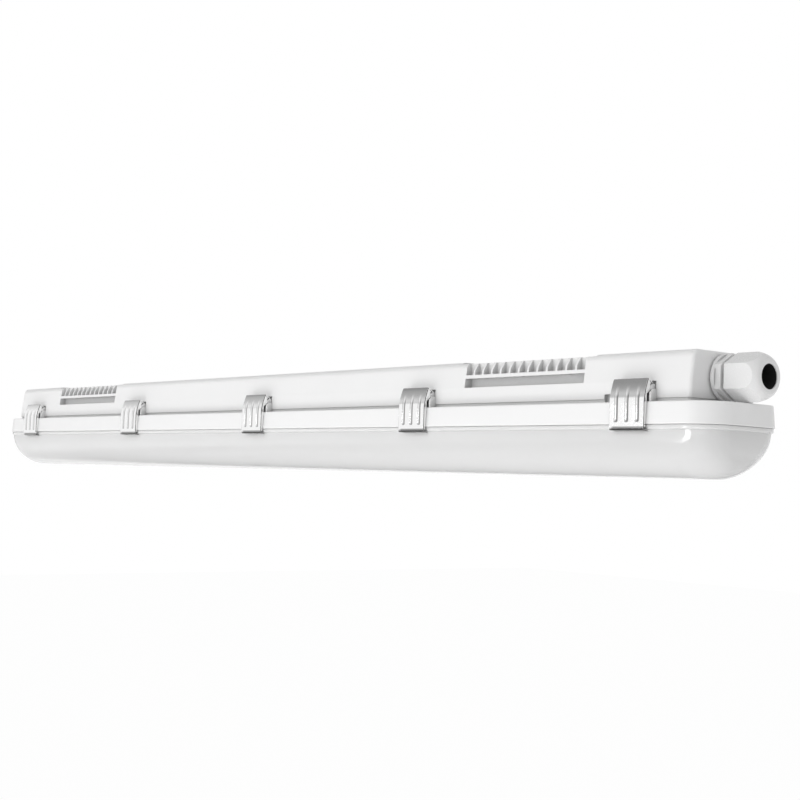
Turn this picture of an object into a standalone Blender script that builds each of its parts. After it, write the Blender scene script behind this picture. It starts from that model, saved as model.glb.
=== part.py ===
"""Vapor tight light fixture, 1200 mm class, as an assembly of separate pieces.

The origin is the centre of the flat back of the housing, the face that lies on the ceiling.
+X runs along the fixture to its cable gland, +Z points up, and the body hangs below the origin.
"""
import math

import bmesh
import bpy
from mathutils import Matrix, Vector

# Overall sizes and clearances
BODY_HEIGHT = 0.095
BAND_LENGTH = 1.148
FIT_GAP = 0.0003
RUNNING_GAP = 0.0005
CUT_OVERRUN = 0.004

# Housing: a moulded hat section with a drafted band round its mouth
HOUSING_WALL = 0.0025
FOOT_WIDTH = 0.076
BAND_SHELF_WIDTH = 0.008
WAIST_DRAFT = 0.0008
WAIST_DEPTH = 0.023
TOP_STEP = 0.010
SHOULDER_RADIUS = 0.007
FOOT_GROOVE_HEIGHT = 0.0026
FOOT_GROOVE_DEPTH = 0.0012
END_SHELF = 0.026
END_EDGE_RADIUS = 0.0025
BAND_TOP_DEPTH = 0.0387
BAND_HEIGHT = 0.017
BAND_DRAFT = 0.001
BAND_CORNER_RADIUS = 0.026
BAND_EDGE_RADIUS = 0.0008
SKIRT_HEIGHT = 0.009

# Bracket seats, slots and cooling fins on the shoulders
SLOT_LENGTH = 0.138
SLOT_TOP_DEPTH = 0.0146
SLOT_HEIGHT = 0.0078
SLOT_REACH = 0.0076
RAIL_HEIGHT = 0.003
RAIL_THICKNESS = 0.0035
FIN_THICKNESS = 0.0020
FIN_CREST = 0.0010
SEAT_DEPTH = 0.0015
SEAT_MARGIN = 0.0085
FINS_PER_GROUP = 12

# Latches and the moulded hinge bars that carry them
LATCH_WIDTH = 0.0335
LATCH_SHEET = 0.0009
LATCH_END_SPACE = 0.051
LATCHES_PER_SIDE = 5
HINGE_DEPTH = 0.028
HINGE_STANDOFF = 0.0012
HINGE_BAR_RADIUS = 0.0026
EAR_THICKNESS = 0.0019
EAR_SIDE_GAP = 0.0006
EAR_FRONT_HEIGHT = 0.0066
SIDE_RECESS_WIDTH = 0.006
SIDE_RECESS_OFFSET = 0.0126
RIDGE_RISE = 0.0064
LATCH_STANDOFF = 0.0026
HOOK_LENGTH = 0.0050
HOOK_BEND_RADIUS = 0.0018
HOOK_DROP = 0.0005
GROOVE_WIDTH = 0.0034
GROOVE_DEPTH = 0.0004
GROOVE_COUNT = 3
KNUCKLE_WRAP_DEG = 290.0
KNUCKLE_TOP_DEG = 95.0

# Milky diffuser
DIFFUSER_WALL = 0.002
LIP_THICKNESS = 0.0034
LIP_INSET = 0.001
LIP_EDGE_RADIUS = 0.0012
TONGUE_THICKNESS = 0.0022
DISH_INSET = 0.0028
DISH_END_CURVE = 0.030
DISH_FLOOR_WIDTH = 0.014
GASKET_THICKNESS = 0.0028

# Gear tray, light boards and electrical parts
TRAY_SHEET = 0.001
TRAY_END_SPACE = 0.020
TRAY_SIDE_GAP = 0.001
POST_RADIUS = 0.004
POST_OFFSET = 0.020
POST_END_SPACE = 0.012
SCREW_RADIUS = 0.0016
SCREW_HEAD_RADIUS = 0.0034
SCREW_HEAD_HEIGHT = 0.0022
SCREW_BITE = 0.009
BOARD_WIDTH = 0.014
BOARD_THICKNESS = 0.0012
BOARD_SPACING = 0.028
BOARD_END_SPACE = 0.030
CHIP_LENGTH = 0.003
CHIP_HEIGHT = 0.0008
CHIPS_PER_BOARD = 12
DRIVER_LENGTH = 0.280
DRIVER_WIDTH = 0.030
DRIVER_HEIGHT = 0.021
DRIVER_EDGE_RADIUS = 0.0015
DRIVER_LUG_LENGTH = 0.010
DRIVER_LUG_THICKNESS = 0.002
TERMINAL_LENGTH = 0.020
TERMINAL_WIDTH = 0.034
TERMINAL_HEIGHT = 0.016
TERMINAL_POLES = 3
TERMINAL_BORE_RADIUS = 0.0022
LEAD_RADIUS = 0.0015
LEAD_HOLE_RADIUS = 0.003

# Cable gland, 25 mm thread size
GLAND_ACROSS_FLATS = 0.032
GLAND_THREAD_RADIUS = 0.0122
GLAND_BORE_RADIUS = 0.0096
GLAND_MOUTH_RADIUS = 0.0094
GLAND_COLLAR_LENGTH = 0.0080
GLAND_FLANGE_RADIUS = 0.0178
GLAND_FLANGE_LENGTH = 0.003
GLAND_COLLAR_EASE = 0.0016
GLAND_WASHER_THICKNESS = 0.0010
GLAND_WASHER_RADIUS = 0.0152
GLAND_THREAD_SHOWN = 0.0028
GLAND_SPIGOT_GRIP = 0.012
GLAND_NUT_LENGTH = 0.0286
GLAND_DOME_LENGTH = 0.018
GLAND_DOME_SWELL = 0.0008
GLAND_MOUTH_RIM = 0.002
GLAND_SEAL_SETBACK = 0.0012
GLAND_LOCKNUT_LENGTH = 0.0055
GLAND_LOCKNUT_ACROSS_FLATS = 0.028
KNOCKOUT_RADIUS = 0.0122
KNOCKOUT_GROOVE = 0.0010

# Counts that set how finely round forms are faceted
ROUND_SIDES = 32
SMALL_SIDES = 10
ARC_STEPS = 6
EDGE_STEPS = 3
KNUCKLE_STEPS = 9
HOOK_STEPS = 3
FLANGE_STEPS = 3
LEAD_STEPS = 3
DOME_STEPS = 7

# Places along curves, as shares of the sizes that they follow
PLATE_CURVE_SHARES = ((0.447, 0.0), (0.59, 0.04), (0.81, 0.40), (0.934, 0.70), (1.0, 0.96))
GROOVE_TOP_SHARE = 0.22
GROOVE_BOTTOM_SHARE = 0.80
GROOVE_PITCH_SHARE = 0.31
DISH_LEVEL_SHARES = (0.0, 0.16, 0.34, 0.52, 0.68, 0.81, 0.91, 0.97, 1.0)
DISH_CURVE_POWER = 2.4
DISH_CORNER_POWER = 1.5
DISH_CORNER_SHARE = 0.98
SLOT_PLACE_SHARE = 1.5
GAP_STEP_SHARE = 0.25
SOCKET_REACH_SHARE = 0.6
BORE_HEIGHT_SHARE = 0.35
WELL_WIDTH_SHARE = 0.8
HOOK_TURN_DEG = 80.0
FLANGE_START_DEG = -45.0
FLANGE_END_DEG = 60.0
SHARP_DEG = 35.0
FINE_SHARP_DEG = 30.0

# Values worked out from the sizes above
HALF_FOOT_WIDTH = FOOT_WIDTH / 2
HALF_WAIST_WIDTH = HALF_FOOT_WIDTH - WAIST_DRAFT
HALF_BAND_LENGTH = BAND_LENGTH / 2
HALF_BAND_WIDTH = HALF_FOOT_WIDTH + BAND_SHELF_WIDTH
HALF_HOUSING_LENGTH = HALF_BAND_LENGTH - END_SHELF
BAND_BOTTOM_DEPTH = BAND_TOP_DEPTH + BAND_HEIGHT
SHELF_BOTTOM_DEPTH = BAND_TOP_DEPTH + HOUSING_WALL
SKIRT_BOTTOM_DEPTH = SHELF_BOTTOM_DEPTH + SKIRT_HEIGHT
SKIRT_INSET = BAND_SHELF_WIDTH
LATCH_PITCH = 2 * (HALF_HOUSING_LENGTH - LATCH_END_SPACE) / (LATCHES_PER_SIDE - 1)
LATCH_SPAN = LATCHES_PER_SIDE // 2
SLOT_PLACE = SLOT_PLACE_SHARE * LATCH_PITCH
SLOT_BOTTOM_DEPTH = SLOT_TOP_DEPTH + SLOT_HEIGHT
SLOT_FLOOR = HALF_WAIST_WIDTH - SLOT_REACH
HINGE_OUT = HALF_FOOT_WIDTH + HINGE_STANDOFF
KNUCKLE_RADIUS = HINGE_BAR_RADIUS + RUNNING_GAP + LATCH_SHEET / 2
EAR_START = LATCH_WIDTH / 2 + EAR_SIDE_GAP
POCKET_FLOOR = HINGE_OUT - KNUCKLE_RADIUS - LATCH_SHEET / 2 - RUNNING_GAP
LIP_TOP_DEPTH = BAND_BOTTOM_DEPTH + FIT_GAP
LIP_BOTTOM_DEPTH = LIP_TOP_DEPTH + LIP_THICKNESS
GASKET_TOP_DEPTH = SHELF_BOTTOM_DEPTH + FIT_GAP
TONGUE_TOP_DEPTH = GASKET_TOP_DEPTH + GASKET_THICKNESS + FIT_GAP
TRAY_BOTTOM_DEPTH = SKIRT_BOTTOM_DEPTH - BOARD_THICKNESS - CHIP_HEIGHT
TRAY_TOP_DEPTH = TRAY_BOTTOM_DEPTH - TRAY_SHEET
HALF_TRAY_LENGTH = HALF_HOUSING_LENGTH - TRAY_END_SPACE
GLAND_HEX_RADIUS = GLAND_ACROSS_FLATS / math.sqrt(3)
GLAND_DEPTH = BAND_TOP_DEPTH - RUNNING_GAP - GLAND_HEX_RADIUS

WHITE_GREY = (0.82, 0.82, 0.82)
MILKY = (0.87, 0.87, 0.87)
STEEL = (0.70, 0.70, 0.70)
GLAND_GREY = (0.74, 0.74, 0.74)


def clear_scene():
    """Remove every object that the file holds."""
    for item in list(bpy.data.objects):
        bpy.data.objects.remove(item, do_unlink=True)


def new_collection(name):
    """Make a collection under the scene's own."""
    collection = bpy.data.collections.new(name)
    bpy.context.scene.collection.children.link(collection)
    return collection


def new_material(name, colour, roughness, metallic=0.0):
    """Make a plain Principled material."""
    material = bpy.data.materials.new(name)
    material.use_nodes = True
    shader = material.node_tree.nodes["Principled BSDF"]
    shader.inputs["Base Color"].default_value = (*colour, 1.0)
    shader.inputs["Roughness"].default_value = roughness
    shader.inputs["Metallic"].default_value = metallic
    return material


def add_object(name, mesh, material=None, cutter=False):
    """Put a mesh in the scene, as a piece of the fixture or as a cutter."""
    item = bpy.data.objects.new(name, mesh)
    if cutter:
        CUTTERS.objects.link(item)
        item.hide_render = True
        item.display_type = "WIRE"
        return item
    FIXTURE.objects.link(item)
    if material:
        mesh.materials.clear()
        mesh.materials.append(material)
    return item


def mesh_from(name, bm):
    """Turn an edit mesh into mesh data with its faces pointing out."""
    bm.normal_update()
    bmesh.ops.recalc_face_normals(bm, faces=bm.faces)
    if bm.calc_volume(signed=True) < 0:
        bmesh.ops.reverse_faces(bm, faces=bm.faces)
    mesh = bpy.data.meshes.new(name)
    bm.to_mesh(mesh)
    bm.free()
    return mesh


def box_mesh(name, boxes):
    """One mesh holding a block for each (low corner, high corner) pair."""
    bm = bmesh.new()
    for low, high in boxes:
        size = [b - a for a, b in zip(low, high)]
        middle = [(a + b) / 2 for a, b in zip(low, high)]
        place = Matrix.Translation(middle) @ Matrix.Diagonal((*size, 1.0))
        bmesh.ops.create_cube(bm, size=1.0, matrix=place)
    return mesh_from(name, bm)


def rod_mesh(name, rods, axis="X"):
    """One mesh of round rods, each given as (start point, length, radius, sides) along an axis."""
    bm = bmesh.new()
    turn = Matrix.Rotation(math.radians(90), 4, "Y") if axis == "X" else Matrix.Identity(4)
    direction = (1.0, 0.0, 0.0) if axis == "X" else (0.0, 0.0, 1.0)
    for start, length, radius, sides in rods:
        middle = [s + d * length / 2 for s, d in zip(start, direction)]
        place = Matrix.Translation(middle) @ turn
        bmesh.ops.create_cone(
            bm, cap_ends=True, segments=sides, radius1=radius, radius2=radius, depth=length, matrix=place
        )
    return mesh_from(name, bm)


def outline_mesh(name, loops, thickness, plane, place, draft=0.0):
    """A flat outline given its thickness, as a filled 2D curve turned into a mesh.

    Loops after the first are holes. plane "YZ" reads the points as (y, z) and extends them along X
    from place, and plane "XY" reads them as (x, y) and extends them up from place.
    """
    curve = bpy.data.curves.new(name, "CURVE")
    curve.dimensions = "2D"
    curve.fill_mode = "BOTH"
    curve.extrude = thickness / 2
    for loop in loops:
        spline = curve.splines.new("POLY")
        spline.points.add(len(loop) - 1)
        for point, (a, b) in zip(spline.points, loop):
            point.co = (a, b, 0.0, 1.0)
        spline.use_cyclic_u = True
    guide = bpy.data.objects.new(name, curve)
    CUTTERS.objects.link(guide)
    bpy.context.view_layer.update()
    mesh = bpy.data.meshes.new_from_object(guide.evaluated_get(bpy.context.evaluated_depsgraph_get()))
    bpy.data.objects.remove(guide)
    bpy.data.curves.remove(curve)
    bm = bmesh.new()
    bm.from_mesh(mesh)
    bpy.data.meshes.remove(mesh)
    bmesh.ops.remove_doubles(bm, verts=bm.verts, dist=FIT_GAP / 100)
    if len(loops) == 1:
        bmesh.ops.dissolve_limit(bm, angle_limit=math.radians(0.5), verts=bm.verts, edges=bm.edges)
    if draft:
        for vert in bm.verts:
            if vert.co.z > 0:
                vert.co.x -= math.copysign(draft, vert.co.x)
                vert.co.y -= math.copysign(draft, vert.co.y)
    if plane == "YZ":
        turn = Matrix(((0, 0, 1, 0), (1, 0, 0, 0), (0, 1, 0, 0), (0, 0, 0, 1)))
        shift = Matrix.Translation((place + thickness / 2, 0.0, 0.0))
    else:
        turn = Matrix.Identity(4)
        shift = Matrix.Translation((0.0, 0.0, place + thickness / 2))
    bm.transform(shift @ turn)
    return mesh_from(name, bm)


def merged_mesh(name, meshes):
    """Several separate meshes as one, for one Boolean."""
    bm = bmesh.new()
    for mesh in meshes:
        bm.from_mesh(mesh)
        bpy.data.meshes.remove(mesh)
    return mesh_from(name, bm)


def turned_object(name, profile, centre_depth, material=None, cutter=False, sides=ROUND_SIDES):
    """A shape turned about a line along X, from (x, radius) points that start and end on the line.

    The profile is turned about Z first and laid along X after it.
    """
    bm = bmesh.new()
    points = [bm.verts.new((radius, 0.0, -x)) for x, radius in profile]
    for a, b in zip(points, points[1:]):
        bm.edges.new((a, b))
    mesh = bpy.data.meshes.new(name)
    bm.to_mesh(mesh)
    bm.free()
    guide = bpy.data.objects.new(name + "_profile", mesh)
    CUTTERS.objects.link(guide)
    screw = guide.modifiers.new("Turn", "SCREW")
    screw.steps = sides
    screw.render_steps = sides
    screw.use_merge_vertices = True
    screw.merge_threshold = FIT_GAP / 10
    bpy.context.view_layer.update()
    turned = bpy.data.meshes.new_from_object(guide.evaluated_get(bpy.context.evaluated_depsgraph_get()))
    bpy.data.objects.remove(guide)
    bpy.data.meshes.remove(mesh)
    lay = Matrix.Translation((0.0, 0.0, -centre_depth)) @ Matrix.Rotation(math.radians(-90), 4, "Y")
    bm = bmesh.new()
    bm.from_mesh(turned)
    bpy.data.meshes.remove(turned)
    bmesh.ops.remove_doubles(bm, verts=bm.verts, dist=FIT_GAP / 10)
    bm.transform(lay)
    return add_object(name, mesh_from(name, bm), material, cutter)


def boolean(item, operation, tool):
    """Add one exact Boolean to an object."""
    modifier = item.modifiers.new(operation.title(), "BOOLEAN")
    modifier.operation = operation
    modifier.solver = "EXACT"
    modifier.object = tool
    return modifier


def cut(item, name, mesh):
    """Take a mesh's volume out of an object."""
    return boolean(item, "DIFFERENCE", add_object(name, mesh, cutter=True))


def fuse(item, name, mesh):
    """Add a mesh's volume to an object."""
    return boolean(item, "UNION", add_object(name, mesh, cutter=True))


def evaluated_mesh(item, name):
    """The object's mesh with its modifiers applied."""
    bpy.context.view_layer.update()
    return bpy.data.meshes.new_from_object(item.evaluated_get(bpy.context.evaluated_depsgraph_get()))


def shade_round(item, angle_deg=SHARP_DEG):
    """Smooth a round piece and keep its true edges sharp."""
    item.data.shade_smooth()
    item.data.set_sharp_from_angle(angle=math.radians(angle_deg))


def rounded_rectangle(half_length, half_width, radius, steps=ARC_STEPS):
    """Points of a rectangle with round corners, anticlockwise from the +X side."""
    points = []
    corners = ((1, 1, 0), (-1, 1, 90), (-1, -1, 180), (1, -1, 270))
    for sign_x, sign_y, start in corners:
        centre_x = sign_x * (half_length - radius)
        centre_y = sign_y * (half_width - radius)
        for step in range(steps + 1):
            angle = math.radians(start + 90 * step / steps)
            points.append((centre_x + radius * math.cos(angle), centre_y + radius * math.sin(angle)))
    return points


def band_outline(inset):
    """The band's outline at its bottom edge, drawn in by an inset."""
    return rounded_rectangle(HALF_BAND_LENGTH - inset, HALF_BAND_WIDTH - inset, BAND_CORNER_RADIUS - inset)


def hexagon(across_flats):
    """Hexagon points as (y, z) with a corner at the top, about the gland's line."""
    radius = across_flats / math.sqrt(3)
    angles = [math.radians(90 + 60 * step) for step in range(6)]
    return [(radius * math.cos(a), radius * math.sin(a) - GLAND_DEPTH) for a in angles]


def hat_profile(inset, foot_depth):
    """The housing's section as (y, z) points, drawn in by an inset."""
    half = []
    centre_y = HALF_FOOT_WIDTH - TOP_STEP
    centre_z = -SHOULDER_RADIUS
    radius = SHOULDER_RADIUS - inset
    for step in range(ARC_STEPS):
        angle = math.radians(90 - 90 * step / (ARC_STEPS - 1))
        half.append((centre_y + radius * math.cos(angle), centre_z + radius * math.sin(angle)))
    half.append((HALF_WAIST_WIDTH - inset, -WAIST_DEPTH))
    half.append((HALF_FOOT_WIDTH - inset, -BAND_TOP_DEPTH))
    half.append((HALF_FOOT_WIDTH - inset, -foot_depth))
    return half + [(-y, z) for y, z in reversed(half)]


def latch_places():
    """Each latch's place along X, from the far end to the gland end."""
    return [LATCH_PITCH * index for index in range(-LATCH_SPAN, LATCH_SPAN + 1)]


def mirrored(outline, side):
    """An outline in (y, z) for the rear side, or turned over to the front side."""
    return outline if side > 0 else [(-y, z) for y, z in reversed(outline)]


def tray_post_places():
    """Where the moulded posts carry the gear tray, as (x, y)."""
    end = HALF_TRAY_LENGTH - POST_END_SPACE
    return [(-end, -POST_OFFSET), (-LATCH_PITCH, 0.0), (LATCH_PITCH, 0.0), (end, POST_OFFSET)]


def housing_body():
    """The outer form: the hat section with eased end edges, and the drafted band below it."""
    straight = HALF_HOUSING_LENGTH - END_EDGE_RADIUS
    profile = hat_profile(0.0, SHELF_BOTTOM_DEPTH + END_EDGE_RADIUS)
    hat = outline_mesh("housing", [profile], 2 * straight, "YZ", -straight)
    bm = bmesh.new()
    bm.from_mesh(hat)
    ends = [face for face in bm.faces if abs(face.normal.x) > abs(face.normal.z) + abs(face.normal.y)]
    for step in range(EDGE_STEPS):
        before = math.radians(90 * step / EDGE_STEPS)
        after = math.radians(90 * (step + 1) / EDGE_STEPS)
        inward = END_EDGE_RADIUS * (math.cos(before) - math.cos(after))
        along = END_EDGE_RADIUS * (math.sin(after) - math.sin(before))
        bmesh.ops.inset_individual(bm, faces=ends, thickness=inward, depth=along, use_even_offset=True)
    bm.to_mesh(hat)
    bm.free()
    housing = add_object("housing", hat, new_material("housing_plastic", WHITE_GREY, 0.38))
    band = outline_mesh("band", [band_outline(0.0)], BAND_HEIGHT, "XY", -BAND_BOTTOM_DEPTH, BAND_DRAFT)
    bm = bmesh.new()
    bm.from_mesh(band)
    rims = [e for e in bm.edges if abs(e.verts[0].co.z - e.verts[1].co.z) < FIT_GAP]
    bmesh.ops.bevel(
        bm, geom=rims, offset=BAND_EDGE_RADIUS, offset_type="OFFSET", segments=1, profile=0.5,
        affect="EDGES", clamp_overlap=True,
    )
    bm.to_mesh(band)
    bm.free()
    fuse(housing, "band", band)
    return housing


def carve_cavity(housing):
    """Hollow the housing to its wall thickness, round the pockets that reach in from outside."""
    inside = outline_mesh(
        "cavity",
        [hat_profile(HOUSING_WALL, SHELF_BOTTOM_DEPTH + CUT_OVERRUN)],
        2 * (HALF_HOUSING_LENGTH - HOUSING_WALL),
        "YZ",
        -(HALF_HOUSING_LENGTH - HOUSING_WALL),
    )
    cavity = add_object("cavity", inside, cutter=True)
    outside = HALF_BAND_WIDTH
    slot_zones = []
    seat_zones = []
    for place in (-SLOT_PLACE, SLOT_PLACE):
        reach = SLOT_LENGTH / 2 + HOUSING_WALL
        seat_reach = SLOT_LENGTH / 2 + SEAT_MARGIN + HOUSING_WALL
        inner = SLOT_FLOOR - HOUSING_WALL
        bottom = -SLOT_BOTTOM_DEPTH - HOUSING_WALL
        slot_zones.append(((place - reach, inner, bottom), (place + reach, outside, CUT_OVERRUN)))
        slot_zones.append(((place - reach, -outside, bottom), (place + reach, -inner, CUT_OVERRUN)))
        low = (place - seat_reach, -outside - CUT_OVERRUN, -SEAT_DEPTH - HOUSING_WALL)
        seat_zones.append((low, (place + seat_reach, outside + CUT_OVERRUN, 2 * CUT_OVERRUN)))
    cut(cavity, "slot_zones", box_mesh("slot_zones", slot_zones))
    cut(cavity, "seat_zones", box_mesh("seat_zones", seat_zones))
    latch_zones = []
    zones = [(x, EAR_START + HOUSING_WALL) for x in latch_places()]
    recess = latch_places()[-1] - LATCH_WIDTH / 2 - SIDE_RECESS_OFFSET
    zones.append((recess, SIDE_RECESS_WIDTH / 2 + HOUSING_WALL))
    for x, reach in zones:
        low = (x - reach, POCKET_FLOOR - HOUSING_WALL, -SHELF_BOTTOM_DEPTH)
        high = (x + reach, outside, -HINGE_DEPTH + RIDGE_RISE + HOUSING_WALL)
        latch_zones.append((low, high))
        latch_zones.append(((low[0], -high[1], low[2]), (high[0], -low[1], high[2])))
    cut(cavity, "latch_zones", box_mesh("latch_zones", latch_zones))
    boolean(housing, "DIFFERENCE", cavity)


def carve_mouth(housing):
    """The gasket channel under the band's shelf, and the skirt that stands inside it."""
    deep = BAND_BOTTOM_DEPTH + CUT_OVERRUN
    channel = outline_mesh(
        "gasket_channel",
        [band_outline(HOUSING_WALL), band_outline(SKIRT_INSET)],
        deep - SHELF_BOTTOM_DEPTH,
        "XY",
        -deep,
    )
    cut(housing, "gasket_channel", channel)
    mouth = outline_mesh(
        "mouth", [band_outline(SKIRT_INSET + HOUSING_WALL)], deep - SHELF_BOTTOM_DEPTH, "XY", -deep
    )
    cut(housing, "mouth", mouth)
    trim_inset = (SKIRT_INSET + HOUSING_WALL) / 2
    trim = outline_mesh("skirt_trim", [band_outline(trim_inset)], deep - SKIRT_BOTTOM_DEPTH, "XY", -deep)
    cut(housing, "skirt_trim", trim)


def carve_shoulders(housing):
    """Bracket seats across the top, and the finned pocket and clip slot at each shoulder."""
    outside = HALF_BAND_WIDTH
    seats = []
    slots = []
    gaps = []
    slopes = []
    fin_pitch = (SLOT_LENGTH - 2 * FIT_GAP + FIN_THICKNESS) / (FINS_PER_GROUP + 1)
    rail_inside = HALF_WAIST_WIDTH - RAIL_THICKNESS
    rail_top = -SLOT_TOP_DEPTH + RAIL_HEIGHT
    gap_floor = SLOT_FLOOR + FIT_GAP
    section = [
        (gap_floor, -SLOT_TOP_DEPTH - SLOT_HEIGHT * GAP_STEP_SHARE),
        (rail_inside, -SLOT_TOP_DEPTH - SLOT_HEIGHT * GAP_STEP_SHARE),
        (rail_inside, rail_top),
        (outside, rail_top),
        (outside, CUT_OVERRUN),
        (gap_floor, CUT_OVERRUN),
    ]
    crest = gap_floor + FIN_CREST
    slope = [
        (HALF_WAIST_WIDTH, rail_top + FIT_GAP),
        (outside, rail_top + FIT_GAP),
        (outside, 2 * CUT_OVERRUN),
        (crest, 2 * CUT_OVERRUN),
        (crest, -SEAT_DEPTH),
    ]
    for place in (-SLOT_PLACE, SLOT_PLACE):
        start = place - SLOT_LENGTH / 2
        low = (start - SEAT_MARGIN, -outside, -SEAT_DEPTH)
        seats.append((low, (start + SLOT_LENGTH + SEAT_MARGIN, outside, CUT_OVERRUN)))
        end = start + SLOT_LENGTH
        slots.append(((start, SLOT_FLOOR, -SLOT_BOTTOM_DEPTH), (end, outside, -SLOT_TOP_DEPTH)))
        slots.append(((start, -outside, -SLOT_BOTTOM_DEPTH), (end, -SLOT_FLOOR, -SLOT_TOP_DEPTH)))
        for side in (-1, 1):
            for index in range(FINS_PER_GROUP + 1):
                gap_start = start + FIT_GAP + fin_pitch * index
                width = fin_pitch - FIN_THICKNESS
                gaps.append(outline_mesh("fin_gap", [mirrored(section, side)], width, "YZ", gap_start))
            run = SLOT_LENGTH - 4 * FIT_GAP
            slopes.append(outline_mesh("fin_slope", [mirrored(slope, side)], run, "YZ", start + 2 * FIT_GAP))
    cut(housing, "bracket_seats", box_mesh("bracket_seats", seats))
    cut(housing, "fin_slopes", merged_mesh("fin_slopes", slopes))
    cut(housing, "fin_gaps", merged_mesh("fin_gaps", gaps))
    cut(housing, "bracket_slots", box_mesh("bracket_slots", slots))


def carve_foot_groove(housing):
    """The fine shadow groove where the walls meet the band."""
    outer = band_outline(0.0)
    length = HALF_HOUSING_LENGTH - FOOT_GROOVE_DEPTH
    inner = rounded_rectangle(length, HALF_FOOT_WIDTH - FOOT_GROOVE_DEPTH, END_EDGE_RADIUS)
    base = -BAND_TOP_DEPTH + FIT_GAP / 2
    cut(housing, "foot_groove", outline_mesh("foot_groove", [outer, inner], FOOT_GROOVE_HEIGHT, "XY", base))


def add_hinges(housing):
    """A shallow pocket behind each latch, and a moulded bar across two ears to carry it."""
    pockets = []
    ears = []
    bars = []
    inner = POCKET_FLOOR - HOUSING_WALL / 2
    foot = -BAND_TOP_DEPTH - HOUSING_WALL / 4
    front = HALF_BAND_WIDTH - BAND_DRAFT - BAND_EDGE_RADIUS - FIT_GAP
    section = [
        (inner, foot),
        (front, foot),
        (front, -BAND_TOP_DEPTH + EAR_FRONT_HEIGHT),
        (HINGE_OUT + HINGE_BAR_RADIUS / 2, -HINGE_DEPTH - HINGE_BAR_RADIUS / 2),
        (inner, -HINGE_DEPTH - HINGE_BAR_RADIUS / 2),
    ]
    for x in latch_places():
        for side in (-1, 1):
            low_y, high_y = sorted((side * POCKET_FLOOR, side * HALF_BAND_WIDTH))
            top = -HINGE_DEPTH + KNUCKLE_RADIUS + LATCH_SHEET + RUNNING_GAP
            pocket_reach = EAR_START + EAR_THICKNESS / 2
            low = (x - pocket_reach, low_y, -BAND_TOP_DEPTH + FIT_GAP)
            pockets.append((low, (x + pocket_reach, high_y, top)))
            for start in (x - EAR_START - EAR_THICKNESS, x + EAR_START):
                ears.append(outline_mesh("ear", [mirrored(section, side)], EAR_THICKNESS, "YZ", start))
            bar_reach = EAR_START + FIT_GAP
            start = (x - bar_reach, side * HINGE_OUT, -HINGE_DEPTH)
            bars.append((start, 2 * bar_reach, HINGE_BAR_RADIUS, SMALL_SIDES))
    x = latch_places()[-1] - LATCH_WIDTH / 2 - SIDE_RECESS_OFFSET
    half = SIDE_RECESS_WIDTH / 2
    for side in (-1, 1):
        low_y, high_y = sorted((side * POCKET_FLOOR, side * HALF_BAND_WIDTH))
        low = (x - half, low_y, -BAND_TOP_DEPTH + FIT_GAP)
        pockets.append((low, (x + half, high_y, -BAND_TOP_DEPTH + EAR_FRONT_HEIGHT)))
    cut(housing, "latch_pockets", box_mesh("latch_pockets", pockets))
    fuse(housing, "latch_ears", merged_mesh("latch_ears", ears))
    fuse(housing, "hinge_bars", rod_mesh("hinge_bars", bars))


def add_posts(housing):
    """Posts inside the roof that the gear tray is screwed to, each with a blind pilot hole."""
    posts = []
    holes = []
    foot = TRAY_TOP_DEPTH - FIT_GAP
    for x, y in tray_post_places():
        posts.append(((x, y, -foot), foot - HOUSING_WALL / 2, POST_RADIUS, SMALL_SIDES))
        depth = SCREW_BITE + RUNNING_GAP
        hole_radius = SCREW_RADIUS + FIT_GAP
        holes.append(((x, y, -foot - CUT_OVERRUN), depth + CUT_OVERRUN, hole_radius, SMALL_SIDES))
    fuse(housing, "tray_posts", rod_mesh("tray_posts", posts, "Z"))
    cut(housing, "pilot_holes", rod_mesh("pilot_holes", holes, "Z"))


def add_cable_entries(housing):
    """The gland's hole in the near end wall, and a knock-out ring in the far one."""
    radius = GLAND_THREAD_RADIUS + FIT_GAP
    start = HALF_HOUSING_LENGTH - HOUSING_WALL - CUT_OVERRUN
    length = HOUSING_WALL + 2 * CUT_OVERRUN
    hole = rod_mesh("gland_hole", [((start, 0.0, -GLAND_DEPTH), length, radius, ROUND_SIDES)])
    cut(housing, "gland_hole", hole)
    angles = [2 * math.pi * step / ROUND_SIDES for step in range(ROUND_SIDES)]
    rings = []
    for radius in (KNOCKOUT_RADIUS, KNOCKOUT_RADIUS - KNOCKOUT_GROOVE):
        rings.append([(radius * math.cos(a), radius * math.sin(a) - GLAND_DEPTH) for a in angles])
    depth = HOUSING_WALL / 2
    ring = outline_mesh("knockout", rings, depth + CUT_OVERRUN, "YZ", -HALF_HOUSING_LENGTH - CUT_OVERRUN)
    cut(housing, "knockout", ring)


def make_housing():
    """The moulded housing."""
    housing = housing_body()
    carve_cavity(housing)
    carve_mouth(housing)
    carve_shoulders(housing)
    carve_foot_groove(housing)
    add_hinges(housing)
    add_posts(housing)
    add_cable_entries(housing)
    return housing


def strip_outline(path, thickness):
    """The closed outline of a bent strip from the points of its middle line."""
    left = []
    right = []
    for index, (u, z) in enumerate(path):
        before = path[max(index - 1, 0)]
        after = path[min(index + 1, len(path) - 1)]
        run_in = (u - before[0], z - before[1])
        run_out = (after[0] - u, after[1] - z)
        length_in = math.hypot(*run_in) or 1.0
        length_out = math.hypot(*run_out) or 1.0
        tangent = [a / length_in + b / length_out for a, b in zip(run_in, run_out)]
        length = math.hypot(*tangent)
        half = thickness / 2 if index in (0, len(path) - 1) else thickness / length
        normal = (-tangent[1] / length * half, tangent[0] / length * half)
        left.append((u + normal[0], z + normal[1]))
        right.append((u - normal[0], z - normal[1]))
    return left + right[::-1]


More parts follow.
